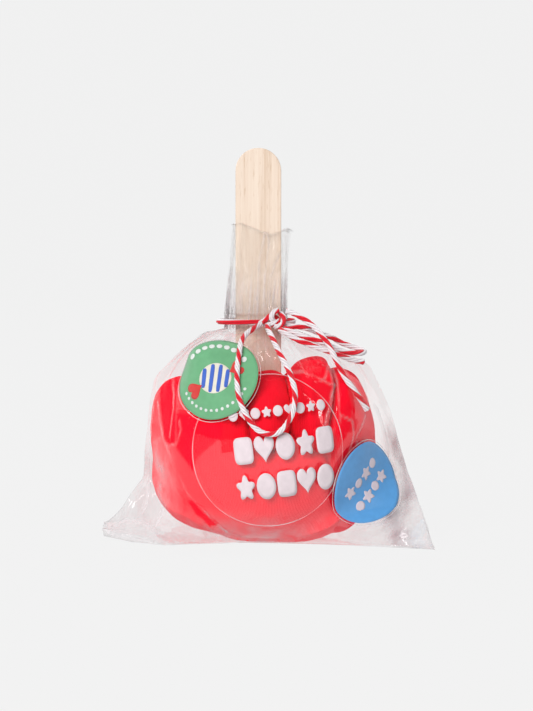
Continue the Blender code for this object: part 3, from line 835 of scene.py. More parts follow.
greenPrint = {
    "green": (0.140, 0.365, 0.190), "cream": (0.66, 0.63, 0.54), "blue": (0.06, 0.13, 0.48),
    "red": (0.56, 0.05, 0.045), "white": (0.62, 0.66, 0.63),
    "fieldLift": 0.04, "sweetLift": 0.08, "topLift": 0.12, "fieldDetail": 120,
    "tilt": 28.0, "middle": -0.6, "sweet": 6.2, "sweetDetail": 64,
    "stripes": (-4.4, -1.5, 1.5, 4.4), "stripeReach": 5.9, "stripeTurn": 60.0, "stripeWidth": 2.592,
    "stripeAcross": 1.05,  # radians from the sweet's tilt to the way the stripes follow each other
    "twist": 3.1, "twistPlace": 8.6, "twistDetail": 48,
    "dots": [  # the turns that have a dot, how far out they lie, their size and their detail
        (range(35, 150, 13), 12.9, 1.15, 24),
        (range(205, 336, 10), 13.2, 0.62, 16),
    ],
}

bluePrint = {
    "blue": (0.096, 0.305, 0.615), "pale": (0.62, 0.54, 0.60),
    "fieldLift": 0.04, "shapeLift": 0.1, "fieldDetail": 120, "shapeDetail": 50,
    "slope": 42, "spacing": 5.3,
    "sizes": {"star": 2.9, "dot": 2.0},
    "rows": [(3.4, ["star", "dot", "star", "dot"]), (-4.4, ["dot", "star", "dot", "star"])],
}


def makeFrontPrint():
    # rows of simple shapes
    slope = math.radians(frontPrint["slope"])
    shapes = []
    for row in frontPrint["rows"]:
        for index, kind in enumerate(row["kinds"]):
            x = row["left"] + row["spacing"] * index
            y = row["bottom"] + (x - row["left"]) * math.tan(slope)
            shapes.append(dict(
                kind=kind, size=row["size"], x=x, y=y, turn=frontPrint["slope"], tall=row["tall"],
            ))
    makePrint("printFront", "labelFront", frontPrint["lift"], frontPrint["white"], "white ink", shapes)


def makeField(name, labelName, values, colour, inkName):
    # the round field of colour under a small label's shapes
    field = [dict(kind="dot", size=labels[labelName]["ink"], x=0, y=0, detail=values["fieldDetail"])]
    makePrint(name, labelName, values["fieldLift"], colour, inkName, field)


def makeGreenPrint():
    # a striped wrapped sweet inside a ring of small dots
    values, slot = greenPrint, "green_print"
    middle, tilt = values["middle"], values["tilt"]
    angle = math.radians(tilt)
    across = angle + values["stripeAcross"]
    makeField("printGreenField", "labelLeft", values, values["green"], "green ink")
    sweet = [dict(kind="dot", size=values["sweet"], x=0, y=middle, detail=values["sweetDetail"])]
    makePrint("printGreenSweet", "labelLeft", values["sweetLift"], values["cream"], "cream ink", sweet)
    stripes = []
    for offset in values["stripes"]:
        length = math.sqrt(values["stripeReach"] ** 2 - offset ** 2)
        stripes.append(dict(
            kind="bar", size=length, x=-offset * math.sin(across), y=middle + offset * math.cos(across),
            turn=tilt + values["stripeTurn"], tall=values["stripeWidth"] / length,
        ))
    makePrint("printGreenStripes", "labelLeft", values["topLift"], values["blue"], "mid blue ink", stripes)
    twists = []
    for side in (-1, 1):
        place = side * values["twistPlace"]
        twists.append(dict(
            kind="heart", size=values["twist"], x=place * math.cos(angle), y=middle + place * math.sin(angle),
            turn=tilt - 90 * side, detail=values["twistDetail"],
        ))
    makePrint("printGreenTwists", "labelLeft", values["topLift"], values["red"], "brick red ink", twists)
    dots = []
    for turns, out, size, detail in values["dots"]:
        for turn in turns:
            place = math.radians(turn)
            x, y = out * math.cos(place), out * math.sin(place)
            dots.append(dict(kind="dot", size=size, x=x, y=y, detail=detail))
    makePrint("printGreenDots", "labelLeft", values["topLift"], values["white"], "white ink on green",
              dots)


def makeBluePrint():
    # two slanting rows of stars and dots
    values, slot = bluePrint, "blue_print"
    makeField("printBlueField", "labelRight", values, values["blue"], "blue ink")
    slope = math.radians(values["slope"])
    shapes = []
    for offset, kinds in values["rows"]:
        for index, kind in enumerate(kinds):
            along = (index - (len(kinds) - 1) / 2) * values["spacing"]
            shapes.append(dict(
                kind=kind, size=values["sizes"][kind], turn=values["slope"], detail=values["shapeDetail"],
                x=along * math.cos(slope) - offset * math.sin(slope),
                y=along * math.sin(slope) + offset * math.cos(slope),
            ))
    makePrint("printBlueShapes", "labelRight", values["shapeLift"], values["pale"], "pale ink on blue",
              shapes)


makeFrontPrint()
makeGreenPrint()
makeBluePrint()
print("prints made")


# rolled socks: rounded rolls side by side, with creases where they meet

socks = {
    "middle": (0.0, 0.0, 34.0),  # a place inside every roll, in millimetres as the rolls below
    "floor": 0.5 * mm, "rows": 190, "columns": 380, "ribs": 372, "clearance": 1.4 * mm,
    "creaseDepth": 3.0 * mm, "creaseWidth": 1.2 * mm, "creaseShade": 0.8 * mm,
    # creaseShade: how fast the painted shade in the creases fades
    "creaseFoot": (24 * mm, 44 * mm),  # the creases run out between these heights, where the rolls press together
    "seed": 5,
    "stitch": 0.55 * mm,
    "blend": 30,  # how sharply the rolls of one group run into each other
    "rolls": [  # groups of rolls, each roll as its middle, its half sizes and its squareness
        [((3, -4, 26), (37, 34.5, 28), 2.3), ((-14, -4.5, 38), (20.5, 31, 26), 2.8),
         ((-18.5, 0, 28), (27, 30.5, 25.5), 2.2)],
        [((-31.5, -3, 40), (14.5, 27, 24), 2.6)],
        [((0, -9.5, 46.5), (13, 28.5, 20), 2.3)],
        [((18, -6, 45), (13.5, 28.5, 26.5), 2.4)],
        [((25.6, -1, 35), (17.2, 31.5, 33), 2.3)],
        [((-6, 14, 33), (36, 25, 31), 2.4)],
        [((18, 16, 34), (23, 22, 32), 2.4)],
    ],
    "waves": [(15, 0.4), (10.5, 0.28), (7.2, 0.18)],  # length and height of the soft unevenness, in millimetres
}


def rollReach(direction, roll):
    # distance from the middle to |x/a|^n + |y/b|^n + |z/c|^n = 1, found by halving
    middle, half, power = roll
    centre = (np.array(middle) - np.array(socks["middle"])) * mm

    def isInside(between):
        local = np.abs((direction * between[..., None] - centre) / (np.array(half) * mm))
        return (local ** power).sum(-1) < 1

    reach, _ = halved(np.zeros(direction.shape[:-1]), np.full(direction.shape[:-1], 90 * mm), 22, isInside)
    return reach


def rawSocks():
    # the farthest roll in each direction, with a dent d exp(-(first - second) / w) where two groups reach as far,
    # and a painted shade in those creases that fades the same way
    tilt = np.linspace(-math.pi / 2, math.pi / 2, socks["rows"] + 2)[1:-1][:, None]
    turn = (2 * math.pi * np.arange(socks["columns"]) / socks["columns"])[None, :]
    direction = np.stack(np.broadcast_arrays(
        np.cos(tilt) * np.cos(turn), np.cos(tilt) * np.sin(turn), np.sin(tilt)), -1)
    reaches = []
    for group in socks["rolls"]:
        members = np.stack([rollReach(direction, roll) for roll in group]) / mm
        reaches.append((members ** socks["blend"]).sum(axis=0) ** (1 / socks["blend"]) * mm)
    ordered = np.sort(np.array(reaches), axis=0)
    behind = ordered[-2] - ordered[-1]
    points = direction * ordered[-1][..., None]
    openness = smoothStep(points[..., 2] + socks["middle"][2] * mm, *socks["creaseFoot"])
    dent = socks["creaseDepth"] * np.exp(behind / socks["creaseWidth"]) * openness
    # painted shade in the creases where two groups meet, for the knit's colour
    paintedCreaseShade = np.exp(behind / socks["creaseShade"]) * openness
    chance = np.random.default_rng(socks["seed"])
    uneven = np.zeros(points.shape[:2])
    for length, height in socks["waves"]:
        for _ in range(3):
            phase = points @ unit(chance.normal(size=3)) / (length * mm) + chance.random()
            uneven += height / 3 * mm * np.sin(2 * math.pi * phase)
    reach = np.minimum(ordered[-1] + uneven, filmReach(direction) - socks["clearance"]) - dent
    toFloor = (socks["middle"][2] * mm - socks["floor"]) / np.maximum(-direction[..., 2], 1e-6)
    return direction, np.minimum(reach, toFloor), paintedCreaseShade


def gridNormals(points):
    # cross product of the steps along and across the grid
    around = np.roll(points, -1, axis=1) - np.roll(points, 1, axis=1)
    along = np.gradient(points, axis=0)
    return unit(np.cross(around, along))


def filmReach(direction):
    # distance from the socks' middle to the smooth film, found by halving
    def isInside(between):
        points = np.array(socks["middle"]) * mm + direction * between[..., None]
        points[..., 2] = np.maximum(points[..., 2], 0.2 * mm)
        return filmGap(points) < 0

    reach, _ = halved(np.zeros(direction.shape[:-1]), np.full(direction.shape[:-1], 75 * mm), 16, isInside)
    return reach


def socksReachAt(reach, points):
    # the socks' own reach in the direction of each point, between the four nearest places of the grid
    away = points - np.array(socks["middle"]) * mm
    distance = np.linalg.norm(away, axis=-1)
    rows, columns = reach.shape
    row = (np.arcsin(np.clip(away[..., 2] / distance, -1, 1)) / math.pi + 0.5) * (rows + 1) - 1
    row = np.clip(row, 0, rows - 1.001)
    column = (np.arctan2(away[..., 1], away[..., 0]) / (2 * math.pi) % 1.0) * columns
    low, left = row.astype(int), column.astype(int) % columns
    right = (left + 1) % columns
    alongRow, alongColumn = column - np.floor(column), row - low
    below = reach[low, left] * (1 - alongRow) + reach[low, right] * alongRow
    above = reach[low + 1, left] * (1 - alongRow) + reach[low + 1, right] * alongRow
    return below * (1 - alongColumn) + above * alongColumn, distance, away


def knitMaterial():
    # fine upright ribs from the piece's own uv, stitches along them, fuzz and a soft sheen, with painted shade in
    # the rib grooves and in the creases between rolls
    made, tree, shader = startMaterial("red knit", {
        "Roughness": 0.9, "Sheen Weight": 0.2, "Sheen Roughness": 0.45, "Sheen Tint": (1.0, 0.04, 0.10, 1),
        "Specular IOR Level": 0.03,
    })
    coordinates = addNode(tree, "ShaderNodeTexCoord")
    place = addNode(tree, "ShaderNodeSeparateXYZ", {"Vector": coordinates.outputs["UV"]})
    wander = noiseOn(tree, coordinates.outputs["Object"], 60.0, 2.0)
    across = worked(tree, "ADD", place.outputs["X"], rangeOf(tree, wander, 0.0, 1.0, -0.7, 0.7))
    ribs = worked(tree, "ABSOLUTE", worked(tree, "SINE", worked(tree, "MULTIPLY", across, math.pi)))
    rows = worked(tree, "ABSOLUTE", worked(tree, "SINE", worked(tree, "MULTIPLY", place.outputs["Y"], math.pi)))
    fuzz = noiseOn(tree, coordinates.outputs["Object"], 2600.0, 3.0, 0.7)
    patches = noiseOn(tree, coordinates.outputs["Object"], 90.0, 4.0, 0.6)
    height = worked(tree, "ADD", ribs, worked(tree, "MULTIPLY", rows, 0.2))
    height = worked(tree, "ADD", height, worked(tree, "MULTIPLY", fuzz, 0.5))
    # painted shade: darker in the grooves between ribs; fuzz and patches add random tone
    shade = worked(tree, "ADD", worked(tree, "MULTIPLY", ribs, 0.45), worked(tree, "MULTIPLY", fuzz, 0.35))
    shade = worked(tree, "ADD", shade, worked(tree, "MULTIPLY", patches, 0.35))
    colour = ramp(tree, shade, [
        (0.12, (0.76, 0.002, 0.010)), (0.45, (0.95, 0.003, 0.018)), (0.85, (0.98, 0.008, 0.030)),
    ])
    # painted shade: the knit turns dark red in the creases between rolls
    paintedCreaseShade = addNode(tree, "ShaderNodeAttribute", attribute_name="paintedCreaseShade").outputs["Fac"]
    shadow = mixed(tree, rangeOf(tree, paintedCreaseShade, 0.05, 1.0, 0.0, 0.8), colour, (0.22, 0.002, 0.006, 1))
    tree.links.new(shadow, shader.inputs["Base Color"])
    bumpOn(tree, shader, height, 0.2 * mm, 0.4)
    return made


def makeSocks():
    # the outer skin as one closed grid, from its lowest point to its highest
    direction, reach, paintedCreaseShade = rawSocks()
    points = np.array(socks["middle"]) * mm + direction * reach[..., None]
    rows, columns = socks["rows"], socks["columns"]
    step = np.linalg.norm(np.diff(points, axis=0), axis=-1).mean(axis=1)
    climb = np.concatenate([[0.0], np.cumsum(step)]) / socks["stitch"]
    columnShare = np.arange(columns + 1) / columns
    # the seam column is doubled, so that the ribs don't run backwards across it
    points = np.concatenate([points, points[:, :1]], axis=1)
    uv = np.stack(np.broadcast_arrays((columnShare * socks["ribs"])[None, :], climb[:, None]), -1)
    count = rows * (columns + 1)
    faces = gridFaces(rows, columns + 1, closed=False)
    below = points[0].mean(axis=0)
    above = points[-1].mean(axis=0)
    allPoints = np.vstack([points.reshape(-1, 3), below, above])
    flatUv = np.vstack([uv.reshape(-1, 2), [[0.0, 0.0]], [[0.0, climb[-1]]]])
    column = np.arange(columns)
    faces += np.stack([column + 1, column, np.full(columns, count)], -1).tolist()
    last = (rows - 1) * (columns + 1)
    faces += np.stack([last + column, last + column + 1, np.full(columns, count + 1)], -1).tolist()
    piece = pieceFrom("rolledSocks", allPoints, faces, [knitMaterial()], flatUv)
    # the painted crease shade, one value for each point
    depth = np.concatenate([paintedCreaseShade, paintedCreaseShade[:, :1]], axis=1).ravel()
    giveAttribute(piece, "paintedCreaseShade", np.append(depth, [0.0, 0.0]))
    work = bmesh.new()
    work.from_mesh(piece.data)
    bmesh.ops.remove_doubles(work, verts=work.verts, dist=1e-7)
    work.to_mesh(piece.data)
    work.free()
    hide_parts("bag")
    return reach


socksReach = makeSocks()
print("rolled socks made")


# clear film bag: one closed sheet up to the rim, over it and down inside the collar to the tie

film = {
    "columns": 440,
    "sideRows": [(0, 6, 10), (6, 54, 52), (54, 84.1, 46), (84.1, 87.1, 7)],  # from, to and number of rows
    "collarRows": (87.1, 124, 46), "innerRows": (124, 88.5, 34),
    "finePleats": [(29, 0.030, 1), (43, 0.022, 2)],  # how many, how deep, and how far the drift shifts them
    "collarPleats": [(11, 0.04, 0.7), (23, 0.02, 1.7)],
    "drift": [(0.35, 9 * mm), (0.6, 21 * mm)],  # how far pleats wander, and over what rise
    "rimWaves": [(1, 0.55, -2.6), (3, 0.3, 0.7)],  # waves round the rim, their share of the height and their turn
    "shoulderSpan": (56, 84), "collarSpan": (86, 98), "rimSpan": (112, 124),  # heights between which they grow
    "wall": 0.5 * mm,  # between the collar's outer and inner layers
    "crumple": [  # length in millimetres and height of each set of straight facets
        (31, 0.85), (23, 0.7), (17, 0.55), (12.5, 0.42), (9.3, 0.33), (6.9, 0.24), (5.1, 0.18),
    ],
    "facets": [(33, 1.9), (22, 0.8)],  # the same for film that lies over the ball
    "facetSeed": 20, "facetWeights": (0.8, 0.15, 1.0),
    "bend": 0.16, "bendLength": 1.9,  # how far the waves bend, and over how many times their length
    "innerDents": 0.3,  # the inner layer's share of the dents
    "rest": 0.2 * mm,  # least distance off the socks
    "floor": 0.02 * mm,
    "collarDull": 0.55, "dullSpan": (88, 96), "paintedOutEdge": 0.8 * mm,
    # streaks: pale lines of painted highlight in the haze where the film is gathered
    "streaks": (61, 37),  # pale lines in the haze where the film is gathered
    "wingPatches": [(26, 0.5), (15, 0.5)], "patchSeed": 16,
    "reflectionPaintedOut": [  # outlines on the front, across and up, where the film's reflection is painted out: its gloss and haze are taken back
        [(-35.5, 52), (-16.5, 52), (-16.5, 44.1), (-26.5, 34.6), (-28.2, 28.4), (-31, 32), (-35.5, 37.5)],
        [(-42.4, 61.7), (-36, 65.7), (-34.9, 60.5), (-35.1, 40.2), (-37.2, 37.4), (-40.5, 40.2), (-42.3, 52.7)],
        [(-31.9, 18.1), (-28.2, 17.3), (-18.4, 9), (-19.2, 7.1), (-22.7, 6.4), (-28.2, 11.7)],
        [(26.5, 62), (31, 66), (33.5, 54), (33, 45), (28, 38), (25, 30), (24.5, 38), (27, 50)],
    ],
    "seed": 11, "baseSeed": 12,
    "baseMiddle": (0.0, -2 * mm, 0.0), "baseRings": 12, "baseLift": 0.05 * mm, "baseWrinkle": 0.3 * mm,
    "baseFade": 6, "baseMiddleLift": 0.1 * mm,
    "closing": (-3.2 * mm, 0.0, 88.0 * mm),  # where the inner layer closes round the stick, just above the tie
    "closingEdge": 87.6 * mm, "closingShares": (0.75, 0.5, 0.25),
    "insideHaze": 0.06,
    "ridgeStep": 1.0 * mm,
    "ridges": [  # height, width, then places across and up on the front
        (0.9, 1.8, [(24.7, 71.5), (26.2, 63.8), (26.4, 61.9), (25.4, 58.2), (23.8, 52.5), (22.6, 48)]),
        (0.5, 1.5, [(24.7, 71.5), (23.4, 66.2), (21.8, 64.8)]),
        (0.55, 1.6, [(24.7, 71.5), (27.9, 65.6), (28.6, 58), (28.6, 54.2), (29.2, 49)]),
        (0.5, 1.5, [(5.5, 74.5), (8.5, 71), (12, 69.5)]),
        (0.45, 1.5, [(-37.6, 65), (-37.0, 58), (-37.4, 52), (-38.5, 42)]),
        (0.5, 1.8, [(36, 40), (40, 33), (46, 30)]),
        (0.5, 1.8, [(-33, 22), (-24, 12), (-16, 4)]),
        (0.4, 1.6, [(9.5, 68.6), (14, 69.2), (18.7, 67.2), (26.5, 62.9)]),
        (0.5, 1.5, [(28.9, 51.7), (34.4, 48.5), (34.8, 42.3), (32.8, 36)]),
        (0.4, 1.4, [(39.8, 50), (38.7, 46.8), (36, 42.2)]),
        (0.3, 1.2, [(-0.2, 123.5), (-3, 110.4), (-4.2, 94.5)]),
        (0.5, 1.6, [(-60, 2), (-52, 7), (-47.5, 15), (-46.5, 26), (-47, 38), (-45.5, 52)]),
        (0.4, 1.4, [(-62, 5), (-56, 8), (-50, 8), (-43, 3)]),
        (0.4, 1.4, [(-49, 2), (-44, 6), (-41, 13)]),
        (0.4, 1.5, [(45, 52), (49, 38), (54, 22), (60, 8)]),
        (0.5, 1.5, [(55, 13), (49, 17), (45.5, 24), (46, 31)]),
        (0.4, 1.4, [(40, 8), (48, 9), (56, 5), (61, 2)]),
        (0.3, 1.0, [(6.1, 113.6), (4.2, 109.6), (2.2, 103.3)]),
        (0.2, 1.0, [(-0.2, 123.5), (1.2, 117), (-0.6, 104), (-1, 92)]),
        (0.4, 1.4, [(-34.9, 48.7), (-34.1, 45.2), (-35.6, 39.7), (-38.7, 38.2)]),
        (0.4, 1.6, [(-43.8, 54), (-43, 46.2), (-39.1, 37), (-32.9, 23), (-24.3, 7), (-19.6, 1.5)]),
    ],
}


def filmRows():
    # heights of the side going up, then of the collar's inner layer going down
    side = [np.linspace(*span)[:-1] for span in film["sideRows"]]
    collar = np.linspace(*film["collarRows"])
    inner = np.linspace(*film["innerRows"])[1:]
    return np.concatenate([*side, collar]) * mm, inner * mm


def crumple(points, waves, seed, weights=(1.0, 1.0, 0.55)):
    # straight-edged waves in random directions, added together: flat facets that meet in sharp creases
    chance = np.random.default_rng(seed)
    total = np.zeros(points.shape[:-1])
    for length, height in waves:
        for _ in range(3):
            heading = unit(chance.normal(size=3) * np.array(weights))
            bend = unit(chance.normal(size=3))
            phase = chance.random() + points @ heading / (length * mm)
            wander = np.sin(points @ bend / (length * film["bendLength"] * mm) + 6 * chance.random())
            phase = phase + film["bend"] * wander
            total += height / 3 * triangleWave(phase)
    return total


def filmMaterial():
    # mirror gloss and a pale haze over what lies behind: metallic = gloss / (gloss + haze), alpha = gloss + haze
    made, tree, shader = startMaterial("clear film", {"Roughness": 0.05})
    coordinates = addNode(tree, "ShaderNodeTexCoord")
    # the 'dull' attribute takes the gloss back; on the front it paints out the film's reflection in outlined places
    dull = addNode(tree, "ShaderNodeAttribute", attribute_name="dull").outputs["Fac"]
    gloss = worked(tree, "MULTIPLY", glossShare(tree, 0.075, 0.85), rangeOf(tree, dull, 0.0, 1.0, 1.0, 0.08))
    split = addNode(tree, "ShaderNodeSeparateXYZ", {"Vector": coordinates.outputs["UV"]})
    painted, shade = split.outputs["X"], split.outputs["Y"]
    cloud = noiseOn(tree, scaled(tree, coordinates.outputs["Object"], (150.0, 150.0, 90.0)), 1.0, 4.0, 0.6)
    haze = worked(tree, "MULTIPLY", painted, rangeOf(tree, cloud, 0.35, 0.65, 0.35, 1.4))
    both = worked(tree, "ADD", gloss, haze)
    mirrored = worked(tree, "DIVIDE", gloss, both)
    # painted shade: the haze turns a darker pinkish grey where the shade coordinate is high, in the right wing
    hazeColour = ramp(tree, shade, [(0.0, (0.65, 0.59, 0.61)), (1.0, (0.40, 0.33, 0.35))])
    colour = mixed(tree, mirrored, hazeColour, (0.97, 0.97, 0.97, 1))
    tree.links.new(colour, shader.inputs["Base Color"])
    tree.links.new(both, shader.inputs["Alpha"])
    tree.links.new(mirrored, shader.inputs["Metallic"])
    fine = noiseOn(tree, scaled(tree, coordinates.outputs["Object"], (260.0, 260.0, 130.0)), 1.0, 3.0, 0.55)
    bumpOn(tree, shader, fine, 0.3 * mm, 0.35)
    return made


def insideOutline(x, z, outline):
    # 1 well inside a closed outline, 0 outside it, with a narrow soft edge
    places = np.array(outline) * mm
    inside = np.zeros(x.shape, bool)
    for (firstX, firstZ), (lastX, lastZ) in zip(places, np.roll(places, -1, axis=0)):
        rise = lastZ - firstZ
        crosses = (firstZ > z) != (lastZ > z)
        inside ^= crosses & (x < firstX + (z - firstZ) * (lastX - firstX) / (rise if rise else 1.0))
    flat = np.stack([x.ravel(), z.ravel()], -1)
    away = distanceTo(flat, np.vstack([places, places[:1]])).reshape(x.shape)
    return np.where(inside, np.clip(away / film["paintedOutEdge"], 0, 1), 0.0)


def reflectionPaintedOutAt(points):
    # 1 in the places on the front where the film's reflection is painted out, 0 elsewhere
    x, y, z = points[..., 0], points[..., 1], points[..., 2]
    return np.max([insideOutline(x, z, outline) for outline in film["reflectionPaintedOut"]], axis=0) * (y < 0)


def dullAt(points):
    # how far the film's gloss is taken back: fully where its reflection is painted out, and partly in the collar
    return np.maximum(reflectionPaintedOutAt(points), film["collarDull"] * grown(points[..., 2], film["dullSpan"]))


filmHaze = {  # shares of haze, and the spans over which they grow, in millimetres
    "everywhere": 0.003,
    "low": 0.24, "lowSpan": (-17, 0),
    "gathered": 0.03, "streaked": 0.2, "gatherSpan": (66, 84), "openSpan": (92, 110),
    "left": 0.36, "leftAcross": (32, 44), "leftHeight": (-46, -22),
    "wingLess": 0.6, "wingSpan": (1.02, 1.2),  # the wing's reach as a share of the oval's
    "paintedOutLess": 0.9,
    "right": 0.14, "rightAcross": (44, 50), "rightHeight": (-52, -30), "rightShade": 0.5,
    "tipLess": 0.7, "tipAcross": (55, 62),
    "patch": 0.52, "patchSpan": (0.35, 0.75),
    "line": 0.32, "lineWidth": 0.8 * mm,
}


filmSlack = {  # how crumpled the film is, from 0 to 1, and the spans over which that grows, in millimetres
    "least": 0.1, "wingSpan": (1.0, 1.12),  # the wing's reach as a share of the oval's
    "high": 0.8, "highSpan": (50, 74), "low": 0.7, "lowSpan": (-14, -3),
    "underLabel": 0.12, "labelSpan": (0.9, 1.12),  # shares of the label's radius
    "tieLess": 0.65, "tieSpan": (80, 86),
}


def hazeAt(points, place, drift, wing, lines):
    # share of haze and its shade, with painted light: streaky painted highlights where the film is gathered, a pale
    # veil as painted reflection low down and outside on the left, and greyish patches of painted shade in the right
    # wing
    values = filmHaze
    x, z = points[..., 0], points[..., 2]
    low = grown(-z, values["lowSpan"])
    gathered = grown(z, values["gatherSpan"]) * (1 - grown(z, values["openSpan"]))
    first, second = film["streaks"]
    streaks = triangleWave(first * place + 1.3 * drift) ** 3 + triangleWave(second * place - drift) ** 4
    left = grown(-x, values["leftAcross"]) * grown(-z, values["leftHeight"])
    # painted reflection: a pale veil low down and outside on the left
    haze = values["everywhere"] + values["low"] * low + values["left"] * left
    # painted highlights: pale streaks where the film is gathered
    haze = haze + (values["gathered"] + values["streaked"] * streaks) * gathered
    haze = haze * (1 - values["wingLess"] * smoothStep(wing, *values["wingSpan"]))
    haze = haze * (1 - values["paintedOutLess"] * reflectionPaintedOutAt(points))
    # painted shade: darker patches of haze over the right wing, fewer at its tip
    patches = crumple(points.reshape(-1, 3), film["wingPatches"], film["patchSeed"]).reshape(z.shape)
    right = grown(x, values["rightAcross"]) * grown(-z, values["rightHeight"])
    right = right * (1 - values["tipLess"] * grown(x, values["tipAcross"]))
    dark = smoothStep(patches, *values["patchSpan"]) * right
    # painted shade patches and painted highlight lines along the creases join the haze
    haze = haze + values["right"] * right + values["patch"] * dark + values["line"] * lines
    return haze, np.maximum(dark, values["rightShade"] * right)


def finePleatsAt(place, z, drift):
    # finer sharp pleats gather towards the neck and open in the collar
    shoulder = grown(z, film["shoulderSpan"])
    collar = grown(z, film["collarSpan"])
    pleats = 0.0
    for fine, broad in zip(film["finePleats"], film["collarPleats"]):
        count, depth, pull = fine
        pleats = pleats + depth * shoulder * (1 - collar) * triangleWave(count * place + drift * pull)
        count, depth, pull = broad
        pleats = pleats + depth * collar * triangleWave(count * place + drift * pull)
    return pleats


def slackAt(points, z, wing):
    # slack film is crumpled, film that lies tight over the ball or under a label is nearly smooth
    values = filmSlack
    slack = np.maximum(smoothStep(wing, *values["wingSpan"]), values["high"] * grown(z, values["highSpan"]))
    slack = np.maximum(slack, values["low"] * grown(-z, values["lowSpan"]))
    slack = slack * (1 - values["least"]) + values["least"]
    under = values["underLabel"]
    for name, label in labels.items():
        away = np.linalg.norm(points - laidLabels[name]["points"][0, 0], axis=-1)
        near, far = (share * label["radius"] * mm for share in values["labelSpan"])
        slack = slack * (under + (1 - under) * smoothStep(away, near, far))
    return slack * (1 - values["tieLess"] * grown(z, values["tieSpan"]))


def withRidges(flat, inward):
    # the dents with raised creases among them, and a thin line of haze along each crease, a painted highlight
    lines = np.zeros_like(inward)
    for height, width, places in film["ridges"]:
        line = np.array(places) * mm
        line = spacedEvenly(frontOfFilm(line[:, 0], line[:, 1]), film["ridgeStep"])
        away = distanceTo(flat, line).reshape(inward.shape)
        inward = inward - height * mm * np.clip(1 - away / (width * mm), 0, 1)
        lines = np.maximum(lines, np.clip(1 - away / filmHaze["lineWidth"], 0, 1))
    return inward, lines


def baseUnder(first, centre):
    # rings drawn in from the lowest row to the middle, lying on the floor with low wrinkles
    share = np.linspace(1, 0, film["baseRings"] + 2)[1:-1][::-1][:, None, None]
    base = centre + (first - centre)[None] * share
    wrinkles = crumple(base, film["crumple"], film["baseSeed"]) * (1 - share[..., 0] ** film["baseFade"])
    base[..., 2] = film["baseLift"] + film["baseWrinkle"] * wrinkles
    return base


def closingRings(last, stick):
    # the inner layer closes round the stick in a few rings
    closing = []
    for share in film["closingShares"]:
        ring = stick + (last - stick) * share
        ring[:, 2] = last[:, 2] * share + film["closingEdge"] * (1 - share)
        closing.append(ring)
    return np.array(closing)


def makeFilm():
    # the oval with its wings and pleats row by row, then dents inward along its normals, base and inner layer
    side, inner = filmRows()
    columns = film["columns"]
    place = (np.arange(columns) / columns)[None, :]
    z = np.concatenate([side, inner])[:, None]
    isInner = (np.arange(len(z)) >= len(side))[:, None]
    folds = foldsAt(z)
    middle, wide, deep, right, _, left, _ = folds
    half = (place * 2) % 1.0
    eased = half - bag["crowding"] * np.sin(2 * math.pi * half) / (2 * math.pi)
    angle = np.where(place < 0.5, right + (left - right) * eased, left + (right + 2 * math.pi - left) * eased)
    reach, wing = reachAt(angle, place, z, folds)
    (upright, uprightRise), (slanting, slantingRise) = film["drift"]
    drift = upright * np.sin(z / uprightRise) + slanting * np.sin(2 * math.pi * place * 2 + z / slantingRise)
    reach = reach * (1 - finePleatsAt(place, z, drift))
    reach = reach - np.where(isInner, film["wall"] / deep, 0.0)
    x = middle + wide * reach * np.cos(angle)
    y = bag["middleY"] + deep * reach * np.sin(angle)
    wave = bag["collarWave"] * sum(share * np.cos(count * angle + turn) for count, share, turn in film["rimWaves"])
    lift = wave * grown(z, film["rimSpan"])
    points = np.stack(np.broadcast_arrays(x, y, z + lift), -1).copy()
    slack = slackAt(points, z, wing)
    flat = points.reshape(-1, 3)
    inward = crumple(flat, film["crumple"], film["seed"]).reshape(slack.shape) * slack * mm
    facets = crumple(flat, film["facets"], film["facetSeed"], film["facetWeights"]).reshape(slack.shape)
    inward, lines = withRidges(flat, inward + facets * (1 - slack) * mm)
    normals = gridNormals(points)
    points = points - normals * np.where(isInner, -film["innerDents"] * inward, inward)[..., None]
    least, distance, outward = socksReachAt(socksReach, points)
    points = points + outward * (np.maximum(least + film["rest"] - distance, 0) / distance)[..., None]
    points[..., 2] = np.maximum(points[..., 2], film["floor"])
    centre, stick = np.array(film["baseMiddle"]), np.array(film["closing"])
    base = baseUnder(points[0], centre)
    points[0, :, 2] = film["floor"]
    grid = np.concatenate([base, points, closingRings(points[-1], stick)])
    rows = len(grid)
    allPoints = np.vstack([grid.reshape(-1, 3), centre + [[0, 0, film["baseMiddleLift"]]], stick[None]])
    faces = closedFaces(rows, columns)
    plain = [film["insideHaze"], 0.0]
    haze = np.zeros((rows, columns, 2)) + plain
    haze[len(base):len(base) + len(points)] = np.stack(hazeAt(points, place, drift, wing, lines), -1)
    haze = np.vstack([haze.reshape(-1, 2), [plain, plain]])
    piece = pieceFrom("clearBag", allPoints, faces, [filmMaterial()], haze)
    giveAttribute(piece, "dull", dullAt(allPoints))
    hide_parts("bag")
    print("film has", 2 * len(faces), "triangles")


makeFilm()
print("clear bag made")


# stick: the solid is right as it is, and gets its wood

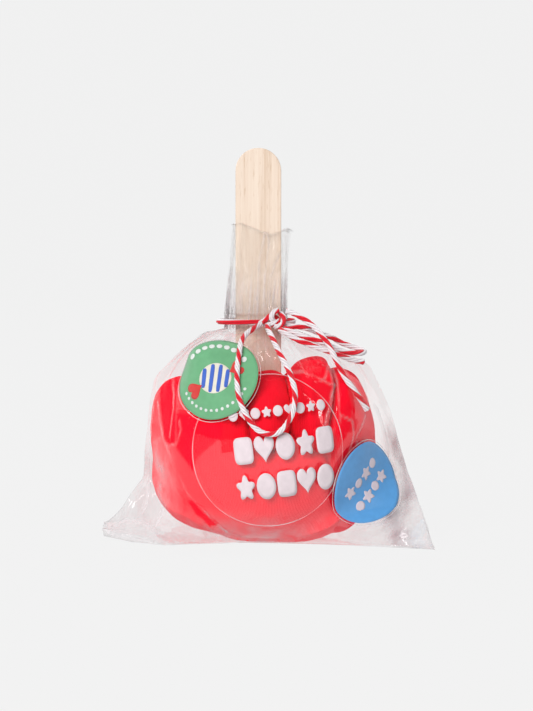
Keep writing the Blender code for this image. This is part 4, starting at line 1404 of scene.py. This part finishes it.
def birchMaterial():
    # pale birch: long fine grain along the stick, faint darker streaks and small pores
    made, tree, shader = startMaterial("birch", {"Roughness": 0.6, "Specular IOR Level": 0.3})
    place = addNode(tree, "ShaderNodeTexCoord").outputs["Object"]
    grain = noiseOn(tree, scaled(tree, place, (1300.0, 1300.0, 26.0)), 1.0, 4.0, 0.6)
    bands = noiseOn(tree, scaled(tree, place, (240.0, 240.0, 9.0)), 1.0, 2.0)
    pores = noiseOn(tree, scaled(tree, place, (2400.0, 2400.0, 190.0)), 1.0, 2.0)
    shade = worked(tree, "ADD", worked(tree, "MULTIPLY", grain, 0.5), worked(tree, "MULTIPLY", bands, 0.5))
    shade = worked(tree, "SUBTRACT", shade, rangeOf(tree, pores, 0.62, 0.75, 0.0, 0.25))
    colour = ramp(tree, shade, [
        (0.3, (0.56, 0.42, 0.31)), (0.5, (0.68, 0.555, 0.455)), (0.7, (0.73, 0.62, 0.52)),
    ])
    tree.links.new(colour, shader.inputs["Base Color"])
    bumpOn(tree, shader, grain, 0.08 * mm, 0.6)
    return made


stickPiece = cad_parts["stick"]
stickPiece.data.materials.clear()
stickPiece.data.materials.append(birchMaterial())


# stage: a pale seamless floor and background, and soft studio light

stage = {
    "paleness": 0.862, "return": 0.02, "halfWidth": 7.0, "front": -2.2, "back": 1.6, "curve": 0.6, "top": 2.6,
    "below": 0.02 * mm, "worldLight": 0.04,
}

lights = [  # name, place, aim, width, height, brightness, seen in gloss
    ("softTop", (0.0, 0.4, 1.45), (0, 0, 0.05), 1.0, 0.4, 7.0, False),
    ("sparkTop", (0.0, 0.3, 1.4), (0, 0, 0.05), 0.45, 0.06, 6.0, True),
    ("softLeft", (-1.5, 0.45, 0.5), (0, 0, 0.06), 2.0, 1.4, 0.3, True),
    ("softRight", (1.5, 0.45, 0.5), (0, 0, 0.06), 2.0, 1.4, 0.25, True),
    ("stripLeft", (-1.35, -0.3, 0.5), (0, 0, 0.06), 0.04, 0.8, 8.0, True),
    ("stripRight", (1.15, -0.8, 0.45), (0, 0, 0.06), 0.09, 0.8, 8.0, True),
    ("softFront", (-0.8, -1.8, 1.25), (0, 0, 0.06), 1.6, 1.2, 10.6, False),
]


def stageMaterial():
    # nearly self-lit, so that it stays even, with a little return of light for a faint shadow
    made, _, _ = startMaterial("pale stage", {
        "Base Color": (stage["return"], stage["return"], stage["return"], 1), "Roughness": 1.0,
        "Specular IOR Level": 0.0, "Emission Color": (1, 1, 1, 1), "Emission Strength": stage["paleness"],
    })
    return made


def makeStage():
    # a profile of floor, quarter circle and wall, drawn out sideways
    turn = np.linspace(0, math.pi / 2, 24)
    curve = stage["curve"]
    y = np.concatenate([[stage["front"]], stage["back"] + curve * np.sin(turn), [stage["back"] + curve]])
    z = np.concatenate([[0.0], curve * (1 - np.cos(turn)), [stage["top"]]])
    sides = np.array([-stage["halfWidth"], stage["halfWidth"]])
    z = z[:, None] - stage["below"]
    points = np.stack(np.broadcast_arrays(sides[None, :], y[:, None], z), -1).reshape(-1, 3)
    faces = gridFaces(len(y), 2, closed=False)
    mesh = bpy.data.meshes.new("stage")
    mesh.from_pydata(points.tolist(), [], faces)
    mesh.materials.append(stageMaterial())
    mesh.polygons.foreach_set("use_smooth", np.ones(len(mesh.polygons), bool))
    floor = bpy.data.objects.new("stage", mesh)
    bpy.context.scene.collection.objects.link(floor)


def makeLights():
    # softboxes with crisp edges; brightness is that of the box's face
    for name, place, aim, width, height, brightness, inGloss in lights:
        data = bpy.data.lights.new(name, "AREA")
        data.shape = "RECTANGLE"
        data.size = width
        data.size_y = height
        data.energy = brightness * math.pi * width * height
        lamp = bpy.data.objects.new(name, data)
        ahead = unit(np.array(aim) - np.array(place))
        side = unit(np.cross(ahead, up))
        rise = np.cross(side, ahead)
        turn = np.stack([side, rise, -ahead], axis=1)
        matrix = np.eye(4)
        matrix[:3, :3] = turn
        matrix[:3, 3] = place
        lamp.matrix_world = matrix.T.tolist()
        lamp.visible_glossy = inGloss
        lamp.visible_camera = False
        bpy.context.scene.collection.objects.link(lamp)
    world = bpy.data.worlds.new("studio")
    world.use_nodes = True
    background = world.node_tree.nodes["Background"]
    background.inputs["Color"].default_value = (1.0, 1.0, 1.0, 1)
    background.inputs["Strength"].default_value = stage["worldLight"]
    bpy.context.scene.world = world


makeStage()
makeLights()
bpy.context.scene.view_settings.view_transform = "Standard"
bpy.context.scene.cycles.transparent_max_bounces = 32
print("stage and light made")
